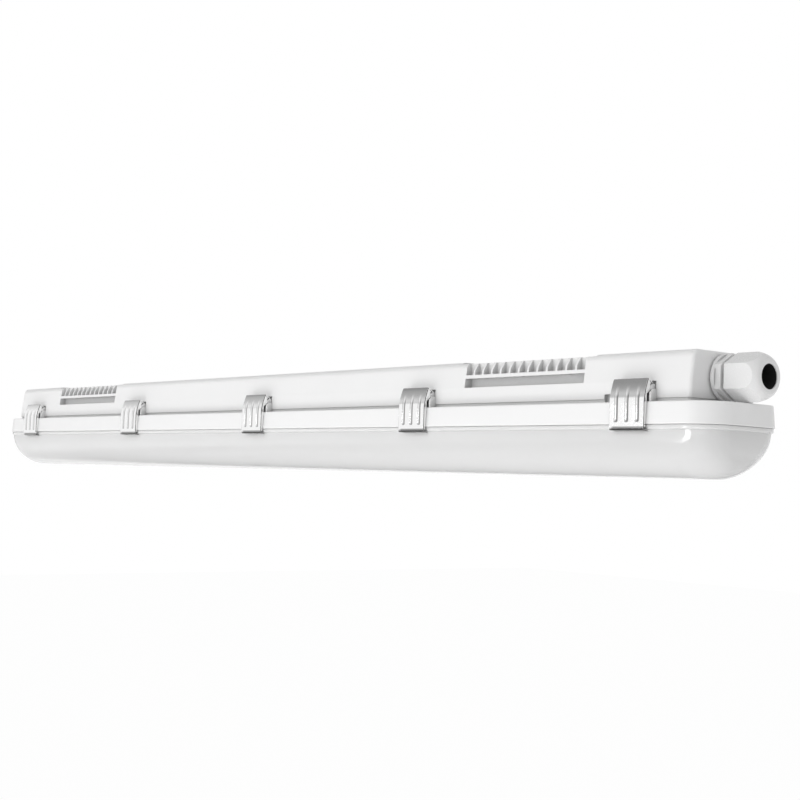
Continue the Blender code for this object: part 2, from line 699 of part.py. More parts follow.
def latch_path():
    """The latch's middle line as (outward, up) from its hinge line: knuckle, ridge, plate and hook."""
    plate_out = HALF_BAND_WIDTH + LATCH_STANDOFF + LATCH_SHEET / 2 - HINGE_OUT
    plate_top = -(BAND_TOP_DEPTH - HINGE_DEPTH)
    path = []
    for step in range(KNUCKLE_STEPS + 1):
        angle = math.radians(KNUCKLE_TOP_DEG + KNUCKLE_WRAP_DEG * (1 - step / KNUCKLE_STEPS))
        path.append((KNUCKLE_RADIUS * math.cos(angle), KNUCKLE_RADIUS * math.sin(angle)))
    for out_share, drop_share in PLATE_CURVE_SHARES:
        path.append((plate_out * out_share, RIDGE_RISE + (plate_top - RIDGE_RISE) * drop_share))
    hook_level = HINGE_DEPTH - LIP_BOTTOM_DEPTH - RUNNING_GAP - LATCH_SHEET / 2
    for step in range(HOOK_STEPS + 1):
        angle = math.radians(-HOOK_TURN_DEG * step / HOOK_STEPS)
        out = plate_out - HOOK_BEND_RADIUS * (1 - math.cos(angle))
        path.append((out, hook_level + HOOK_BEND_RADIUS * (1 + math.sin(angle))))
    path.append((plate_out - HOOK_LENGTH, hook_level - HOOK_DROP))
    return path


def latch_mesh():
    """One pressed latch about its hinge line, with side flanges and three pressed grooves."""
    path = latch_path()
    half = LATCH_WIDTH / 2
    strip = mirrored(strip_outline(path, LATCH_SHEET), -1)
    latch = add_object("latch_blank", outline_mesh("latch", [strip], LATCH_WIDTH, "YZ", -half), cutter=True)
    plate = path[KNUCKLE_STEPS + 1:-HOOK_STEPS - 1]
    plate_out = plate[-1][0]
    band_foot = HALF_BAND_WIDTH + RUNNING_GAP - HINGE_OUT
    band_head = HALF_BAND_WIDTH - BAND_DRAFT + RUNNING_GAP - HINGE_OUT
    shelf = HINGE_DEPTH - BAND_TOP_DEPTH
    flange = list(plate) + [
        (band_foot, plate[-1][1] + HOOK_BEND_RADIUS),
        (band_head, shelf - RUNNING_GAP),
        (band_head, -KNUCKLE_RADIUS - LATCH_STANDOFF / 2),
        (KNUCKLE_RADIUS, -KNUCKLE_RADIUS),
    ]
    for step in range(FLANGE_STEPS + 1):
        angle = math.radians(FLANGE_START_DEG + (FLANGE_END_DEG - FLANGE_START_DEG) * step / FLANGE_STEPS)
        flange.append((KNUCKLE_RADIUS * math.cos(angle), KNUCKLE_RADIUS * math.sin(angle)))
    flanges = []
    for start in (-half, half - LATCH_SHEET):
        flanges.append(outline_mesh("flange", [mirrored(flange[::-1], -1)], LATCH_SHEET, "YZ", start))
    fuse(latch, "latch_flanges", merged_mesh("latch_flanges", flanges))
    height = RIDGE_RISE - path[-1][1]
    top = RIDGE_RISE - height * GROOVE_TOP_SHARE
    bottom = RIDGE_RISE - height * GROOVE_BOTTOM_SHARE
    face = plate_out + LATCH_SHEET / 2
    grooves = []
    for index in range(GROOVE_COUNT):
        x = LATCH_WIDTH * GROOVE_PITCH_SHARE * (index - (GROOVE_COUNT - 1) / 2)
        low = (x - GROOVE_WIDTH / 2, -face - CUT_OVERRUN, bottom)
        grooves.append((low, (x + GROOVE_WIDTH / 2, -face + GROOVE_DEPTH, top)))
    cut(latch, "latch_grooves", box_mesh("latch_grooves", grooves))
    mesh = evaluated_mesh(latch, "latch")
    mesh.name = "latch"
    return mesh


def make_latches():
    """Five latches along the front and five along the rear, which share one mesh."""
    mesh = latch_mesh()
    mesh.materials.clear()
    mesh.materials.append(new_material("stainless_steel", STEEL, 0.28, 1.0))
    mesh.shade_smooth()
    mesh.set_sharp_from_angle(angle=math.radians(SHARP_DEG))
    for side, label in ((-1, "front"), (1, "rear")):
        for number, x in enumerate(latch_places(), start=1):
            latch = add_object(f"latch_{label}_{number}", mesh)
            latch.location = (x, side * HINGE_OUT, -HINGE_DEPTH)
            latch.rotation_euler = (0.0, 0.0, math.pi if side > 0 else 0.0)


def dish_outline(inset_share, wall):
    """A level of the diffuser's dish: its outline at a share of the way from lip to floor."""
    curve = math.sqrt(max(1 - inset_share ** DISH_CURVE_POWER, 0.0))
    top_half_width = HALF_BAND_WIDTH - DISH_INSET
    top_half_length = HALF_BAND_LENGTH - DISH_INSET
    floor_half_width = DISH_FLOOR_WIDTH / 2
    half_width = floor_half_width + (top_half_width - floor_half_width) * curve - wall
    half_length = top_half_length - DISH_END_CURVE * (1 - curve) - wall
    corner_share = (BAND_CORNER_RADIUS - DISH_INSET) / top_half_width
    round_share = corner_share + (1 - corner_share) * inset_share ** DISH_CORNER_POWER
    radius = half_width * round_share * DISH_CORNER_SHARE
    return rounded_rectangle(half_length, half_width, radius)


def make_diffuser():
    """The milky dish with its flange lip and the tongue that presses the gasket."""
    floor_depth = BODY_HEIGHT
    dish_height = floor_depth - LIP_BOTTOM_DEPTH
    levels = []
    for share in reversed(DISH_LEVEL_SHARES):
        levels.append((dish_outline(share, 0.0), -LIP_BOTTOM_DEPTH - dish_height * share))
    lip = LIP_INSET + LIP_EDGE_RADIUS
    tongue_inset = SKIRT_INSET - RUNNING_GAP
    levels.append((band_outline(lip), -LIP_BOTTOM_DEPTH))
    levels.append((band_outline(LIP_INSET), -LIP_BOTTOM_DEPTH + LIP_EDGE_RADIUS))
    levels.append((band_outline(LIP_INSET), -LIP_TOP_DEPTH))
    levels.append((band_outline(tongue_inset - TONGUE_THICKNESS), -LIP_TOP_DEPTH))
    levels.append((band_outline(tongue_inset - TONGUE_THICKNESS), -TONGUE_TOP_DEPTH))
    levels.append((band_outline(tongue_inset), -TONGUE_TOP_DEPTH))
    levels.append((band_outline(tongue_inset), -LIP_TOP_DEPTH - LIP_THICKNESS / 2))
    inner_height = dish_height - DIFFUSER_WALL
    for share in DISH_LEVEL_SHARES:
        levels.append((dish_outline(share, DIFFUSER_WALL), -LIP_BOTTOM_DEPTH - inner_height * share))
    bm = bmesh.new()
    rings = [[bm.verts.new((x, y, z)) for x, y in outline] for outline, z in levels]
    for lower, upper in zip(rings, rings[1:]):
        for index in range(len(lower)):
            after = (index + 1) % len(lower)
            bm.faces.new((lower[index], lower[after], upper[after], upper[index]))
    bm.faces.new(rings[0][::-1])
    bm.faces.new(rings[-1])
    diffuser = add_object("diffuser", mesh_from("diffuser", bm), new_material("milky_plastic", MILKY, 0.22))
    shade_round(diffuser, FINE_SHARP_DEG)
    return diffuser


def make_gasket():
    """The foamed ring in the channel under the shelf."""
    outer = band_outline(HOUSING_WALL + FIT_GAP)
    inner = band_outline(SKIRT_INSET - FIT_GAP)
    base = -GASKET_TOP_DEPTH - GASKET_THICKNESS
    mesh = outline_mesh("gasket", [outer, inner], GASKET_THICKNESS, "XY", base)
    return add_object("gasket", mesh, new_material("gasket_foam", (0.55, 0.56, 0.56), 0.9))


def board_starts():
    """Where each light board starts along X, and its length."""
    half_run = HALF_TRAY_LENGTH - BOARD_END_SPACE
    length = half_run - RUNNING_GAP
    return (-half_run, RUNNING_GAP), length


def driver_span():
    """The driver's start and end along X."""
    return -DRIVER_LENGTH / 2, DRIVER_LENGTH / 2


def make_tray():
    """The folded sheet tray, with its screw holes and the slot for the board lead."""
    half = HALF_FOOT_WIDTH - HOUSING_WALL - TRAY_SIDE_GAP - TRAY_SHEET / 2
    middle = -TRAY_BOTTOM_DEPTH + TRAY_SHEET / 2
    rise = -SHELF_BOTTOM_DEPTH - RUNNING_GAP
    path = [(-half, rise), (-half, middle), (half, middle), (half, rise)]
    outline = strip_outline(path, TRAY_SHEET)
    mesh = outline_mesh("gear_tray", [outline], 2 * HALF_TRAY_LENGTH, "YZ", -HALF_TRAY_LENGTH)
    tray = add_object("gear_tray", mesh, new_material("white_sheet", (0.88, 0.88, 0.87), 0.45))
    base = -TRAY_BOTTOM_DEPTH - CUT_OVERRUN
    length = TRAY_SHEET + 2 * CUT_OVERRUN
    radius = SCREW_RADIUS + FIT_GAP
    holes = [((x, y, base), length, radius, SMALL_SIDES) for x, y in tray_post_places()]
    holes += [((x, 0.0, base), length, radius, SMALL_SIDES) for x in driver_screw_places()]
    x, y = lead_slot_place()
    holes.append(((x, y, base), length, LEAD_HOLE_RADIUS, SMALL_SIDES))
    cut(tray, "tray_holes", rod_mesh("tray_holes", holes, "Z"))
    return tray


def make_boards():
    """Four light boards in two rows, each with its row of chips."""
    starts, length = board_starts()
    material = new_material("board_white", (0.90, 0.90, 0.88), 0.5)
    top = -TRAY_BOTTOM_DEPTH - FIT_GAP
    bottom = top - BOARD_THICKNESS
    number = 0
    for y in (-BOARD_SPACING / 2, BOARD_SPACING / 2):
        for start in starts:
            number += 1
            name = f"light_board_{number}"
            low = (start, y - BOARD_WIDTH / 2, bottom)
            high = (start + length, y + BOARD_WIDTH / 2, top)
            board = add_object(name, box_mesh(name, [(low, high)]), material)
            chips = []
            for index in range(CHIPS_PER_BOARD):
                x = start + length * (index + 0.5) / CHIPS_PER_BOARD
                low = (x - CHIP_LENGTH / 2, y - CHIP_LENGTH / 2, bottom - CHIP_HEIGHT)
                high = (x + CHIP_LENGTH / 2, y + CHIP_LENGTH / 2, bottom + BOARD_THICKNESS / 2)
                chips.append((low, high))
            fuse(board, name + "_chips", box_mesh(name + "_chips", chips))


def driver_screw_places():
    """The driver's screws along X, one through each end lug."""
    start, end = driver_span()
    return start - DRIVER_LUG_LENGTH / 2, end + DRIVER_LUG_LENGTH / 2


def make_driver():
    """The closed driver case with an end lug at each end."""
    start, end = driver_span()
    half = DRIVER_WIDTH / 2
    base = -TRAY_TOP_DEPTH + FIT_GAP
    case = box_mesh("driver", [((start, -half, base), (end, half, base + DRIVER_HEIGHT))])
    bm = bmesh.new()
    bm.from_mesh(case)
    top_edges = [e for e in bm.edges if all(v.co.z > base + FIT_GAP for v in e.verts)]
    bmesh.ops.bevel(
        bm, geom=top_edges, offset=DRIVER_EDGE_RADIUS, offset_type="OFFSET", segments=2, profile=0.5,
        affect="EDGES", clamp_overlap=True,
    )
    bm.to_mesh(case)
    bm.free()
    driver = add_object("driver", case, new_material("driver_white", (0.82, 0.82, 0.80), 0.5))
    overlap = DRIVER_LUG_LENGTH / 2
    lug_half = half - DRIVER_EDGE_RADIUS
    lug_top = base + DRIVER_LUG_THICKNESS
    lugs = [
        ((start - DRIVER_LUG_LENGTH, -lug_half, base), (start + overlap, lug_half, lug_top)),
        ((end - overlap, -lug_half, base), (end + DRIVER_LUG_LENGTH, lug_half, lug_top)),
    ]
    fuse(driver, "driver_lugs", box_mesh("driver_lugs", lugs))
    length = 2 * CUT_OVERRUN + DRIVER_LUG_THICKNESS
    radius = SCREW_RADIUS + FIT_GAP
    rods = [((x, 0.0, base - CUT_OVERRUN), length, radius, SMALL_SIDES) for x in driver_screw_places()]
    cut(driver, "driver_lug_holes", rod_mesh("driver_lug_holes", rods, "Z"))
    return driver


def screw_object(name, x, y, seat, shank_end, material):
    """A pan head screw whose head seats at one height and whose shank ends at another."""
    up = 1 if shank_end > seat else -1
    head_far = seat - up * SCREW_HEAD_HEIGHT
    head = [((x, y, min(seat, head_far)), SCREW_HEAD_HEIGHT, SCREW_HEAD_RADIUS, SMALL_SIDES)]
    screw = add_object(name, rod_mesh(name, head, "Z"), material)
    buried = seat - up * SCREW_HEAD_HEIGHT / 2
    shank = [((x, y, min(buried, shank_end)), abs(shank_end - buried), SCREW_RADIUS, SMALL_SIDES)]
    fuse(screw, name + "_shank", rod_mesh(name + "_shank", shank, "Z"))
    socket_low = min(head_far, head_far + up * SCREW_HEAD_HEIGHT / 2)
    socket_high = socket_low + SCREW_HEAD_HEIGHT / 2
    if up > 0:
        socket_low -= CUT_OVERRUN
    else:
        socket_high += CUT_OVERRUN
    reach = SCREW_HEAD_RADIUS * SOCKET_REACH_SHARE
    low = (x - reach, y - SCREW_RADIUS / 4, socket_low)
    high = (x + reach, y + SCREW_RADIUS / 4, socket_high)
    cut(screw, name + "_slot", box_mesh(name + "_slot", [(low, high)]))
    return screw


def make_screws():
    """Four screws hold the tray to its posts, and two hold the driver to the tray."""
    material = new_material("screw_steel", (0.62, 0.62, 0.62), 0.35, 1.0)
    for number, (x, y) in enumerate(tray_post_places(), start=1):
        seat = -TRAY_BOTTOM_DEPTH - FIT_GAP
        screw_object(f"tray_screw_{number}", x, y, seat, -TRAY_TOP_DEPTH + FIT_GAP + SCREW_BITE, material)
    for number, x in enumerate(driver_screw_places(), start=1):
        seat = -TRAY_TOP_DEPTH + DRIVER_LUG_THICKNESS + 2 * FIT_GAP
        screw_object(f"driver_screw_{number}", x, 0.0, seat, -TRAY_BOTTOM_DEPTH, material)


def terminal_place():
    """The terminal block's middle along X, between the two tray posts of the gland end."""
    return SLOT_PLACE + TERMINAL_LENGTH


def make_terminal_block():
    """The three pole terminal block, with a wire bore through each pole and a screw well above it."""
    x = terminal_place()
    base = -TRAY_TOP_DEPTH + FIT_GAP
    half_length = TERMINAL_LENGTH / 2
    half_width = TERMINAL_WIDTH / 2
    block = box_mesh(
        "terminal_block",
        [((x - half_length, -half_width, base), (x + half_length, half_width, base + TERMINAL_HEIGHT))],
    )
    terminal = add_object("terminal_block", block, new_material("terminal_white", (0.85, 0.85, 0.83), 0.5))
    bores = []
    wells = []
    pole_pitch = TERMINAL_WIDTH / TERMINAL_POLES
    for index in range(TERMINAL_POLES):
        y = pole_pitch * (index + 0.5) - half_width
        z = base + TERMINAL_HEIGHT * BORE_HEIGHT_SHARE
        length = TERMINAL_LENGTH + 2 * CUT_OVERRUN
        bores.append(((x - length / 2, y, z), length, TERMINAL_BORE_RADIUS, SMALL_SIDES))
        wells.append(((x, y, z), TERMINAL_HEIGHT, TERMINAL_BORE_RADIUS * WELL_WIDTH_SHARE, SMALL_SIDES))
    cut(terminal, "wire_bores", rod_mesh("wire_bores", bores))
    cut(terminal, "screw_wells", rod_mesh("screw_wells", wells, "Z"))
    return terminal


def lead_slot_place():
    """Where the board lead drops through the tray, over the first rear board."""
    return driver_span()[0] - 2 * DRIVER_LUG_LENGTH, BOARD_SPACING / 2


def lead_object(name, points, material):
    """A round lead along a smooth line through a few points, as a filled curve."""
    curve = bpy.data.curves.new(name, "CURVE")
    curve.dimensions = "3D"
    curve.bevel_depth = LEAD_RADIUS
    curve.bevel_resolution = 1
    curve.use_fill_caps = True
    spline = curve.splines.new("POLY")
    smooth = []
    count = len(points)
    for index in range(count - 1):
        a = Vector(points[max(index - 1, 0)])
        b = Vector(points[index])
        c = Vector(points[index + 1])
        d = Vector(points[min(index + 2, count - 1)])
        for step in range(LEAD_STEPS):
            t = step / LEAD_STEPS
            square = (2 * a - 5 * b + 4 * c - d) * t ** 2
            cube = (3 * b - a - 3 * c + d) * t ** 3
            smooth.append((2 * b + (c - a) * t + square + cube) / 2)
    smooth.append(points[-1])
    spline.points.add(len(smooth) - 1)
    for point, place in zip(spline.points, smooth):
        point.co = (*place, 1.0)
    guide = bpy.data.objects.new(name, curve)
    CUTTERS.objects.link(guide)
    bpy.context.view_layer.update()
    mesh = bpy.data.meshes.new_from_object(guide.evaluated_get(bpy.context.evaluated_depsgraph_get()))
    bpy.data.objects.remove(guide)
    bm = bmesh.new()
    bm.from_mesh(mesh)
    bpy.data.meshes.remove(mesh)
    bmesh.ops.remove_doubles(bm, verts=bm.verts, dist=FIT_GAP / 100)
    lead = add_object(name, mesh_from(name, bm), material)
    shade_round(lead)
    return lead


def make_leads():
    """The supply lead from terminal block to driver, and the board lead down through the tray."""
    material = new_material("lead_white", (0.80, 0.80, 0.78), 0.5)
    start, end = driver_span()
    floor = -TRAY_TOP_DEPTH + FIT_GAP + LEAD_RADIUS
    bore = -TRAY_TOP_DEPTH + FIT_GAP + TERMINAL_HEIGHT * BORE_HEIGHT_SHARE
    terminal_face = terminal_place() - TERMINAL_LENGTH / 2 - FIT_GAP
    side = TERMINAL_WIDTH / TERMINAL_POLES
    turn = DRIVER_LUG_LENGTH + LEAD_RADIUS * 4
    driver_mid = -TRAY_TOP_DEPTH + DRIVER_HEIGHT / 2
    supply = [
        (end + FIT_GAP, side / 2, driver_mid),
        (end + turn / 2, side / 2, driver_mid),
        (end + turn, side, (driver_mid + floor) / 2),
        (end + 2 * turn, side, floor),
        (LATCH_PITCH, side, floor),
        (terminal_face - 2 * turn, side, floor),
        (terminal_face - turn / 2, side, bore),
        (terminal_face, side, bore),
    ]
    lead_object("supply_lead", supply, material)
    slot_x, slot_y = lead_slot_place()
    board_back = -TRAY_BOTTOM_DEPTH
    drop = [
        (start - FIT_GAP, side / 2, driver_mid),
        (start - DRIVER_LUG_LENGTH, side / 2, driver_mid),
        (slot_x, slot_y, floor + 2 * LEAD_RADIUS),
        (slot_x, slot_y, floor),
        (slot_x, slot_y, board_back),
    ]
    lead_object("board_lead", drop, material)


def gland_rod(name, start, end, radius):
    """A round rod on the gland's line."""
    return rod_mesh(name, [((start, 0.0, -GLAND_DEPTH), end - start, radius, ROUND_SIDES)])


def make_gland():
    """The cable gland: washer, body, locknut, seal sleeve and domed nut, on one line along X."""
    plastic = new_material("gland_plastic", GLAND_GREY, 0.42)
    rubber = new_material("gland_rubber", (0.10, 0.10, 0.10), 0.8)
    wall = HALF_HOUSING_LENGTH
    washer_end = wall + FIT_GAP + GLAND_WASHER_THICKNESS
    collar_start = washer_end + FIT_GAP
    collar_end = collar_start + GLAND_COLLAR_LENGTH
    nut_start = collar_end + GLAND_THREAD_SHOWN
    spigot_end = nut_start + GLAND_SPIGOT_GRIP
    mouth = nut_start + GLAND_NUT_LENGTH
    angles = [2 * math.pi * step / ROUND_SIDES for step in range(ROUND_SIDES)]

    def circle(radius):
        return [(radius * math.cos(a), radius * math.sin(a) - GLAND_DEPTH) for a in angles]

    washer_loops = [circle(GLAND_WASHER_RADIUS), circle(GLAND_THREAD_RADIUS + FIT_GAP)]
    washer = outline_mesh("gland_washer", washer_loops, GLAND_WASHER_THICKNESS, "YZ", wall + FIT_GAP)
    add_object("gland_washer", washer, rubber)

    locknut_end = wall - HOUSING_WALL - FIT_GAP
    locknut_start = locknut_end - GLAND_LOCKNUT_LENGTH
    locknut_loops = [hexagon(GLAND_LOCKNUT_ACROSS_FLATS), circle(GLAND_THREAD_RADIUS + FIT_GAP)]
    locknut = outline_mesh("gland_locknut", locknut_loops, GLAND_LOCKNUT_LENGTH, "YZ", locknut_start)
    add_object("gland_locknut", locknut, plastic)

    flats = [hexagon(GLAND_ACROSS_FLATS)]
    flats_start = collar_start + GLAND_FLANGE_LENGTH / 2
    collar = outline_mesh("gland_body", flats, collar_end - flats_start, "YZ", flats_start)
    body = add_object("gland_body", collar, plastic)
    full = GLAND_HEX_RADIUS + FIT_GAP
    eased = GLAND_HEX_RADIUS - GLAND_COLLAR_EASE
    barrel = [
        (flats_start - FIT_GAP, 0.0),
        (flats_start - FIT_GAP, eased),
        (flats_start + GLAND_COLLAR_EASE, full),
        (collar_end - GLAND_COLLAR_EASE, full),
        (collar_end + FIT_GAP, eased),
        (collar_end + FIT_GAP, 0.0),
    ]
    boolean(body, "INTERSECT", turned_object("collar_envelope", barrel, GLAND_DEPTH, cutter=True))
    flange_end = collar_start + GLAND_FLANGE_LENGTH
    fuse(body, "gland_flange", gland_rod("gland_flange", collar_start, flange_end, GLAND_FLANGE_RADIUS))
    shank_start = locknut_start - GLAND_WASHER_THICKNESS
    shank = gland_rod("gland_shank", shank_start, spigot_end, GLAND_THREAD_RADIUS)
    fuse(body, "gland_shank", shank)
    bore = gland_rod("gland_bore", shank_start - CUT_OVERRUN, spigot_end + CUT_OVERRUN, GLAND_BORE_RADIUS)
    cut(body, "gland_bore", bore)

    seal_start = spigot_end + FIT_GAP
    seal_end = mouth - GLAND_SEAL_SETBACK
    seal_loops = [circle(GLAND_THREAD_RADIUS - FIT_GAP), circle(GLAND_MOUTH_RADIUS)]
    seal = outline_mesh("gland_seal", seal_loops, seal_end - seal_start, "YZ", seal_start)
    add_object("gland_seal", seal, rubber)

    nut_mesh = outline_mesh("gland_nut", flats, mouth - nut_start, "YZ", nut_start)
    nut = add_object("gland_nut", nut_mesh, plastic)
    rim_radius = GLAND_MOUTH_RADIUS + GLAND_MOUTH_RIM
    base_radius = GLAND_HEX_RADIUS + GLAND_DOME_SWELL
    dome = [
        (nut_start - FIT_GAP, 0.0),
        (nut_start - FIT_GAP, GLAND_HEX_RADIUS - GLAND_COLLAR_EASE / 2),
        (nut_start + GLAND_COLLAR_EASE / 2, base_radius),
    ]
    for step in range(DOME_STEPS + 1):
        angle = math.radians(90 * step / DOME_STEPS)
        x = mouth - GLAND_DOME_LENGTH * (1 - math.sin(angle))
        dome.append((x, rim_radius + (base_radius - rim_radius) * math.cos(angle)))
    dome.append((mouth, 0.0))
    envelope = turned_object("nut_envelope", dome, GLAND_DEPTH, cutter=True)
    boolean(nut, "INTERSECT", envelope)
    thread_radius = GLAND_THREAD_RADIUS + FIT_GAP
    seal_seat = seal_end + FIT_GAP
    cut(nut, "nut_thread", gland_rod("nut_thread", nut_start - CUT_OVERRUN, seal_seat, thread_radius))
    cut(nut, "nut_mouth", gland_rod("nut_mouth", seal_end, mouth + CUT_OVERRUN, GLAND_MOUTH_RADIUS))
    place = Matrix.Translation((wall, 0.0, -GLAND_DEPTH))
    for item in [nut] + [modifier.object for modifier in nut.modifiers]:
        item.data.transform(place.inverted())
        item.matrix_world = place
    for item in (body, nut):
        shade_round(item, FINE_SHARP_DEG)


clear_scene()
FIXTURE = new_collection("vapor_tight_light_fixture")
CUTTERS = new_collection("cutters")

make_housing()
make_diffuser()
make_gasket()
make_tray()
make_boards()
make_driver()
make_terminal_block()
make_leads()
make_screws()
make_gland()
make_latches()
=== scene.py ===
"""Dressed vapor tight light fixture: moulded housing, milky diffuser, pressed latches, cable gland.

All sizes are in metres in the part's own frame. The origin is the middle of the flat back of the
housing, +X runs along the fixture to its cable gland, and +Z points up into the ceiling.
"""
import logging
import math
from dataclasses import dataclass
from enum import Enum
from functools import cache
from typing import Any, Mapping, Sequence

import bmesh
import bpy
from mathutils import Matrix, Vector


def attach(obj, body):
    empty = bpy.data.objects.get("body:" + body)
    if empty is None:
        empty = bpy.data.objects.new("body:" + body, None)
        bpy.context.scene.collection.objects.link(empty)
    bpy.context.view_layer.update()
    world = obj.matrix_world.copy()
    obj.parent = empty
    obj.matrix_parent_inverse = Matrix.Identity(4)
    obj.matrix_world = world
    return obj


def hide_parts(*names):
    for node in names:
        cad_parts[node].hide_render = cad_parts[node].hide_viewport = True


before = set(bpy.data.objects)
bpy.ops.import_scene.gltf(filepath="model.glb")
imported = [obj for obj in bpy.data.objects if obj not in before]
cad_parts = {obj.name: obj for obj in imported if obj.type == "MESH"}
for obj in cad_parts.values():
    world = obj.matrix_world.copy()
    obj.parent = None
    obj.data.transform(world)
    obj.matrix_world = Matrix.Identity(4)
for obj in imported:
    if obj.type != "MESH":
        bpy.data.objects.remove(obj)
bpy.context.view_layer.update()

LOG = logging.getLogger("fixture")
MM = 0.001
WELD = 1e-6
IMAGE_SIZE = 800
# Name of the per-vertex share of painted shade on the latches.
PAINTED_SHADE_LAYER = "painted_crease_shade"
WHITE = (1.0, 1.0, 1.0, 1.0)
# Places of a Mix node's two colour inputs and of its colour output.
MIX_A, MIX_B, MIXED = 6, 7, 2

BMesh = bmesh.types.BMesh
BMEdge = bmesh.types.BMEdge
BMVert = bmesh.types.BMVert
Mesh = bpy.types.Mesh
Node = bpy.types.Node
Tree = bpy.types.NodeTree
Point = tuple[float, float]
Place = tuple[float, float, float]
Ring = Sequence[Point]


class Plane(Enum):
    """The plane that an outline is drawn in, named by the axes that its points follow."""

    YZ = "yz"
    XY = "xy"

    def place(self, a: float, b: float, along: float) -> Vector:
        """Put an outline point that lies so far along the plane's normal in space."""
        return Vector((along, a, b)) if self is Plane.YZ else Vector((a, b, along))


class Cut(Enum):
    """What a tool solid does to the solid that it meets."""

    AWAY = "DIFFERENCE"
    JOIN = "UNION"
    KEEP = "INTERSECT"

    def by(self, *tools: Mesh) -> list[tuple["Cut", Mesh]]:
        """Pair each tool solid with what it does."""
        return [(self, tool) for tool in tools]


Step = tuple[Cut, Mesh]


# Meshes


def put(name: str, data: bpy.types.ID) -> bpy.types.Object:
    """Put a new object in the scene.

    Args:
        name: The object's name.
        data: Its mesh, lamp or camera.

    Returns:
        The object.
    """
    item = bpy.data.objects.new(name, data)
    bpy.context.scene.collection.objects.link(item)
    return item


def outward(bm: BMesh) -> None:
    """Merge doubles and turn every face of a closed form outwards.

    Args:
        bm: The edit mesh to set right.
    """
    bmesh.ops.remove_doubles(bm, verts=bm.verts, dist=WELD)
    bm.normal_update()
    bmesh.ops.recalc_face_normals(bm, faces=bm.faces)
    if bm.calc_volume(signed=True) < 0:
        bmesh.ops.reverse_faces(bm, faces=bm.faces)


def to_mesh(bm: BMesh) -> Mesh:
    """Hand an edit mesh over as mesh data.

    Args:
        bm: The edit mesh, which is freed.

    Returns:
        The mesh.
    """
    mesh = bpy.data.meshes.new("work")
    bm.to_mesh(mesh)
    bm.free()
    return mesh


def opened(*meshes: Mesh) -> BMesh:
    """Open meshes for editing, as one.

    Args:
        meshes: The meshes, which are removed.

    Returns:
        The edit mesh that holds them all.
    """
    bm = bmesh.new()
    for mesh in meshes:
        bm.from_mesh(mesh)
        bpy.data.meshes.remove(mesh)
    return bm


def extruded(
    bm: BMesh, edges: Sequence[BMEdge], row: Sequence[BMVert]
) -> tuple[list[BMEdge], list[BMVert]]:
    """Extrude a row of edges.

    Args:
        bm: The edit mesh.
        edges: The row's edges.
        row: Its vertices, in order.

    Returns:
        The new row's edges, and its vertices in the same order.
    """
    grown = bmesh.ops.extrude_edge_only(bm, edges=edges)["geom"]
    fresh = {item for item in grown if isinstance(item, BMVert)}
    after = [next(e.other_vert(v) for e in v.link_edges if e.other_vert(v) in fresh) for v in row]
    return [item for item in grown if isinstance(item, BMEdge)], after


def prism(
    outline: Ring, start: float, length: float, plane: Plane = Plane.YZ, draft: float = 0.0
) -> Mesh:
    """Extrude an outline into a solid.

    Args:
        outline: The outline's points, in order.
        start: Where the solid starts along the plane's normal.
        length: How far it runs.
        plane: The plane that the outline is drawn in.
        draft: How far the far end is drawn in on every side.

    Returns:
        The closed mesh.
    """
    bm = bmesh.new()
    face = bm.faces.new([bm.verts.new(plane.place(a, b, start)) for a, b in outline])
    grown = bmesh.ops.extrude_face_region(bm, geom=[face])["geom"]
    far = [item for item in grown if isinstance(item, BMVert)]
    bmesh.ops.translate(bm, verts=far, vec=plane.place(0.0, 0.0, length))
    if draft:
        for vert in far:
            vert.co.x -= math.copysign(draft, vert.co.x)
            vert.co.y -= math.copysign(draft, vert.co.y)
    outward(bm)
    return to_mesh(bm)


def blocks(pairs: Sequence[tuple[Place, Place]]) -> Mesh:
    """Make one mesh of blocks.

    Args:
        pairs: The low and high corner of each block.

    Returns:
        The mesh of all the blocks.
    """
    bm = bmesh.new()
    for low, high in pairs:
        middle = [(a + b) / 2 for a, b in zip(low, high)]
        size = [b - a for a, b in zip(low, high)]
        place = Matrix.Translation(middle) @ Matrix.Diagonal((*size, 1.0))
        bmesh.ops.create_cube(bm, size=1.0, matrix=place)
    return to_mesh(bm)


def both_sides(along: Point, out: Point, up: Point) -> list[tuple[Place, Place]]:
    """The corners of a rear block and of its like at the front, from its reach each way.

    Args:
        along: Where the block starts and ends along X.
        out: Where it starts and ends outward from the middle plane.
        up: Where it starts and ends along Z.

    Returns:
        The low and high corner of both.
    """
    (start, end), (near, far), (low, high) = along, out, up
    return [((start, near, low), (end, far, high)), ((start, -far, low), (end, -near, high))]


def rods(lines: Sequence[tuple[Sequence[float], float, float]], sides: int) -> Mesh:
    """Make one mesh of round rods that lie along X.

    Args:
        lines: The start point, length and radius of each rod.
        sides: How many sides each rod has.

    Returns:
        The mesh of all the rods.
    """
    bm = bmesh.new()
    for start, length, radius in lines:
        middle = Vector(start) + Vector((length / 2, 0.0, 0.0))
        place = Matrix.Translation(middle) @ Matrix.Rotation(math.radians(90), 4, "Y")
        bmesh.ops.create_cone(
            bm, cap_ends=True, segments=sides, radius1=radius, radius2=radius, depth=length,
            matrix=place,
        )
    return to_mesh(bm)


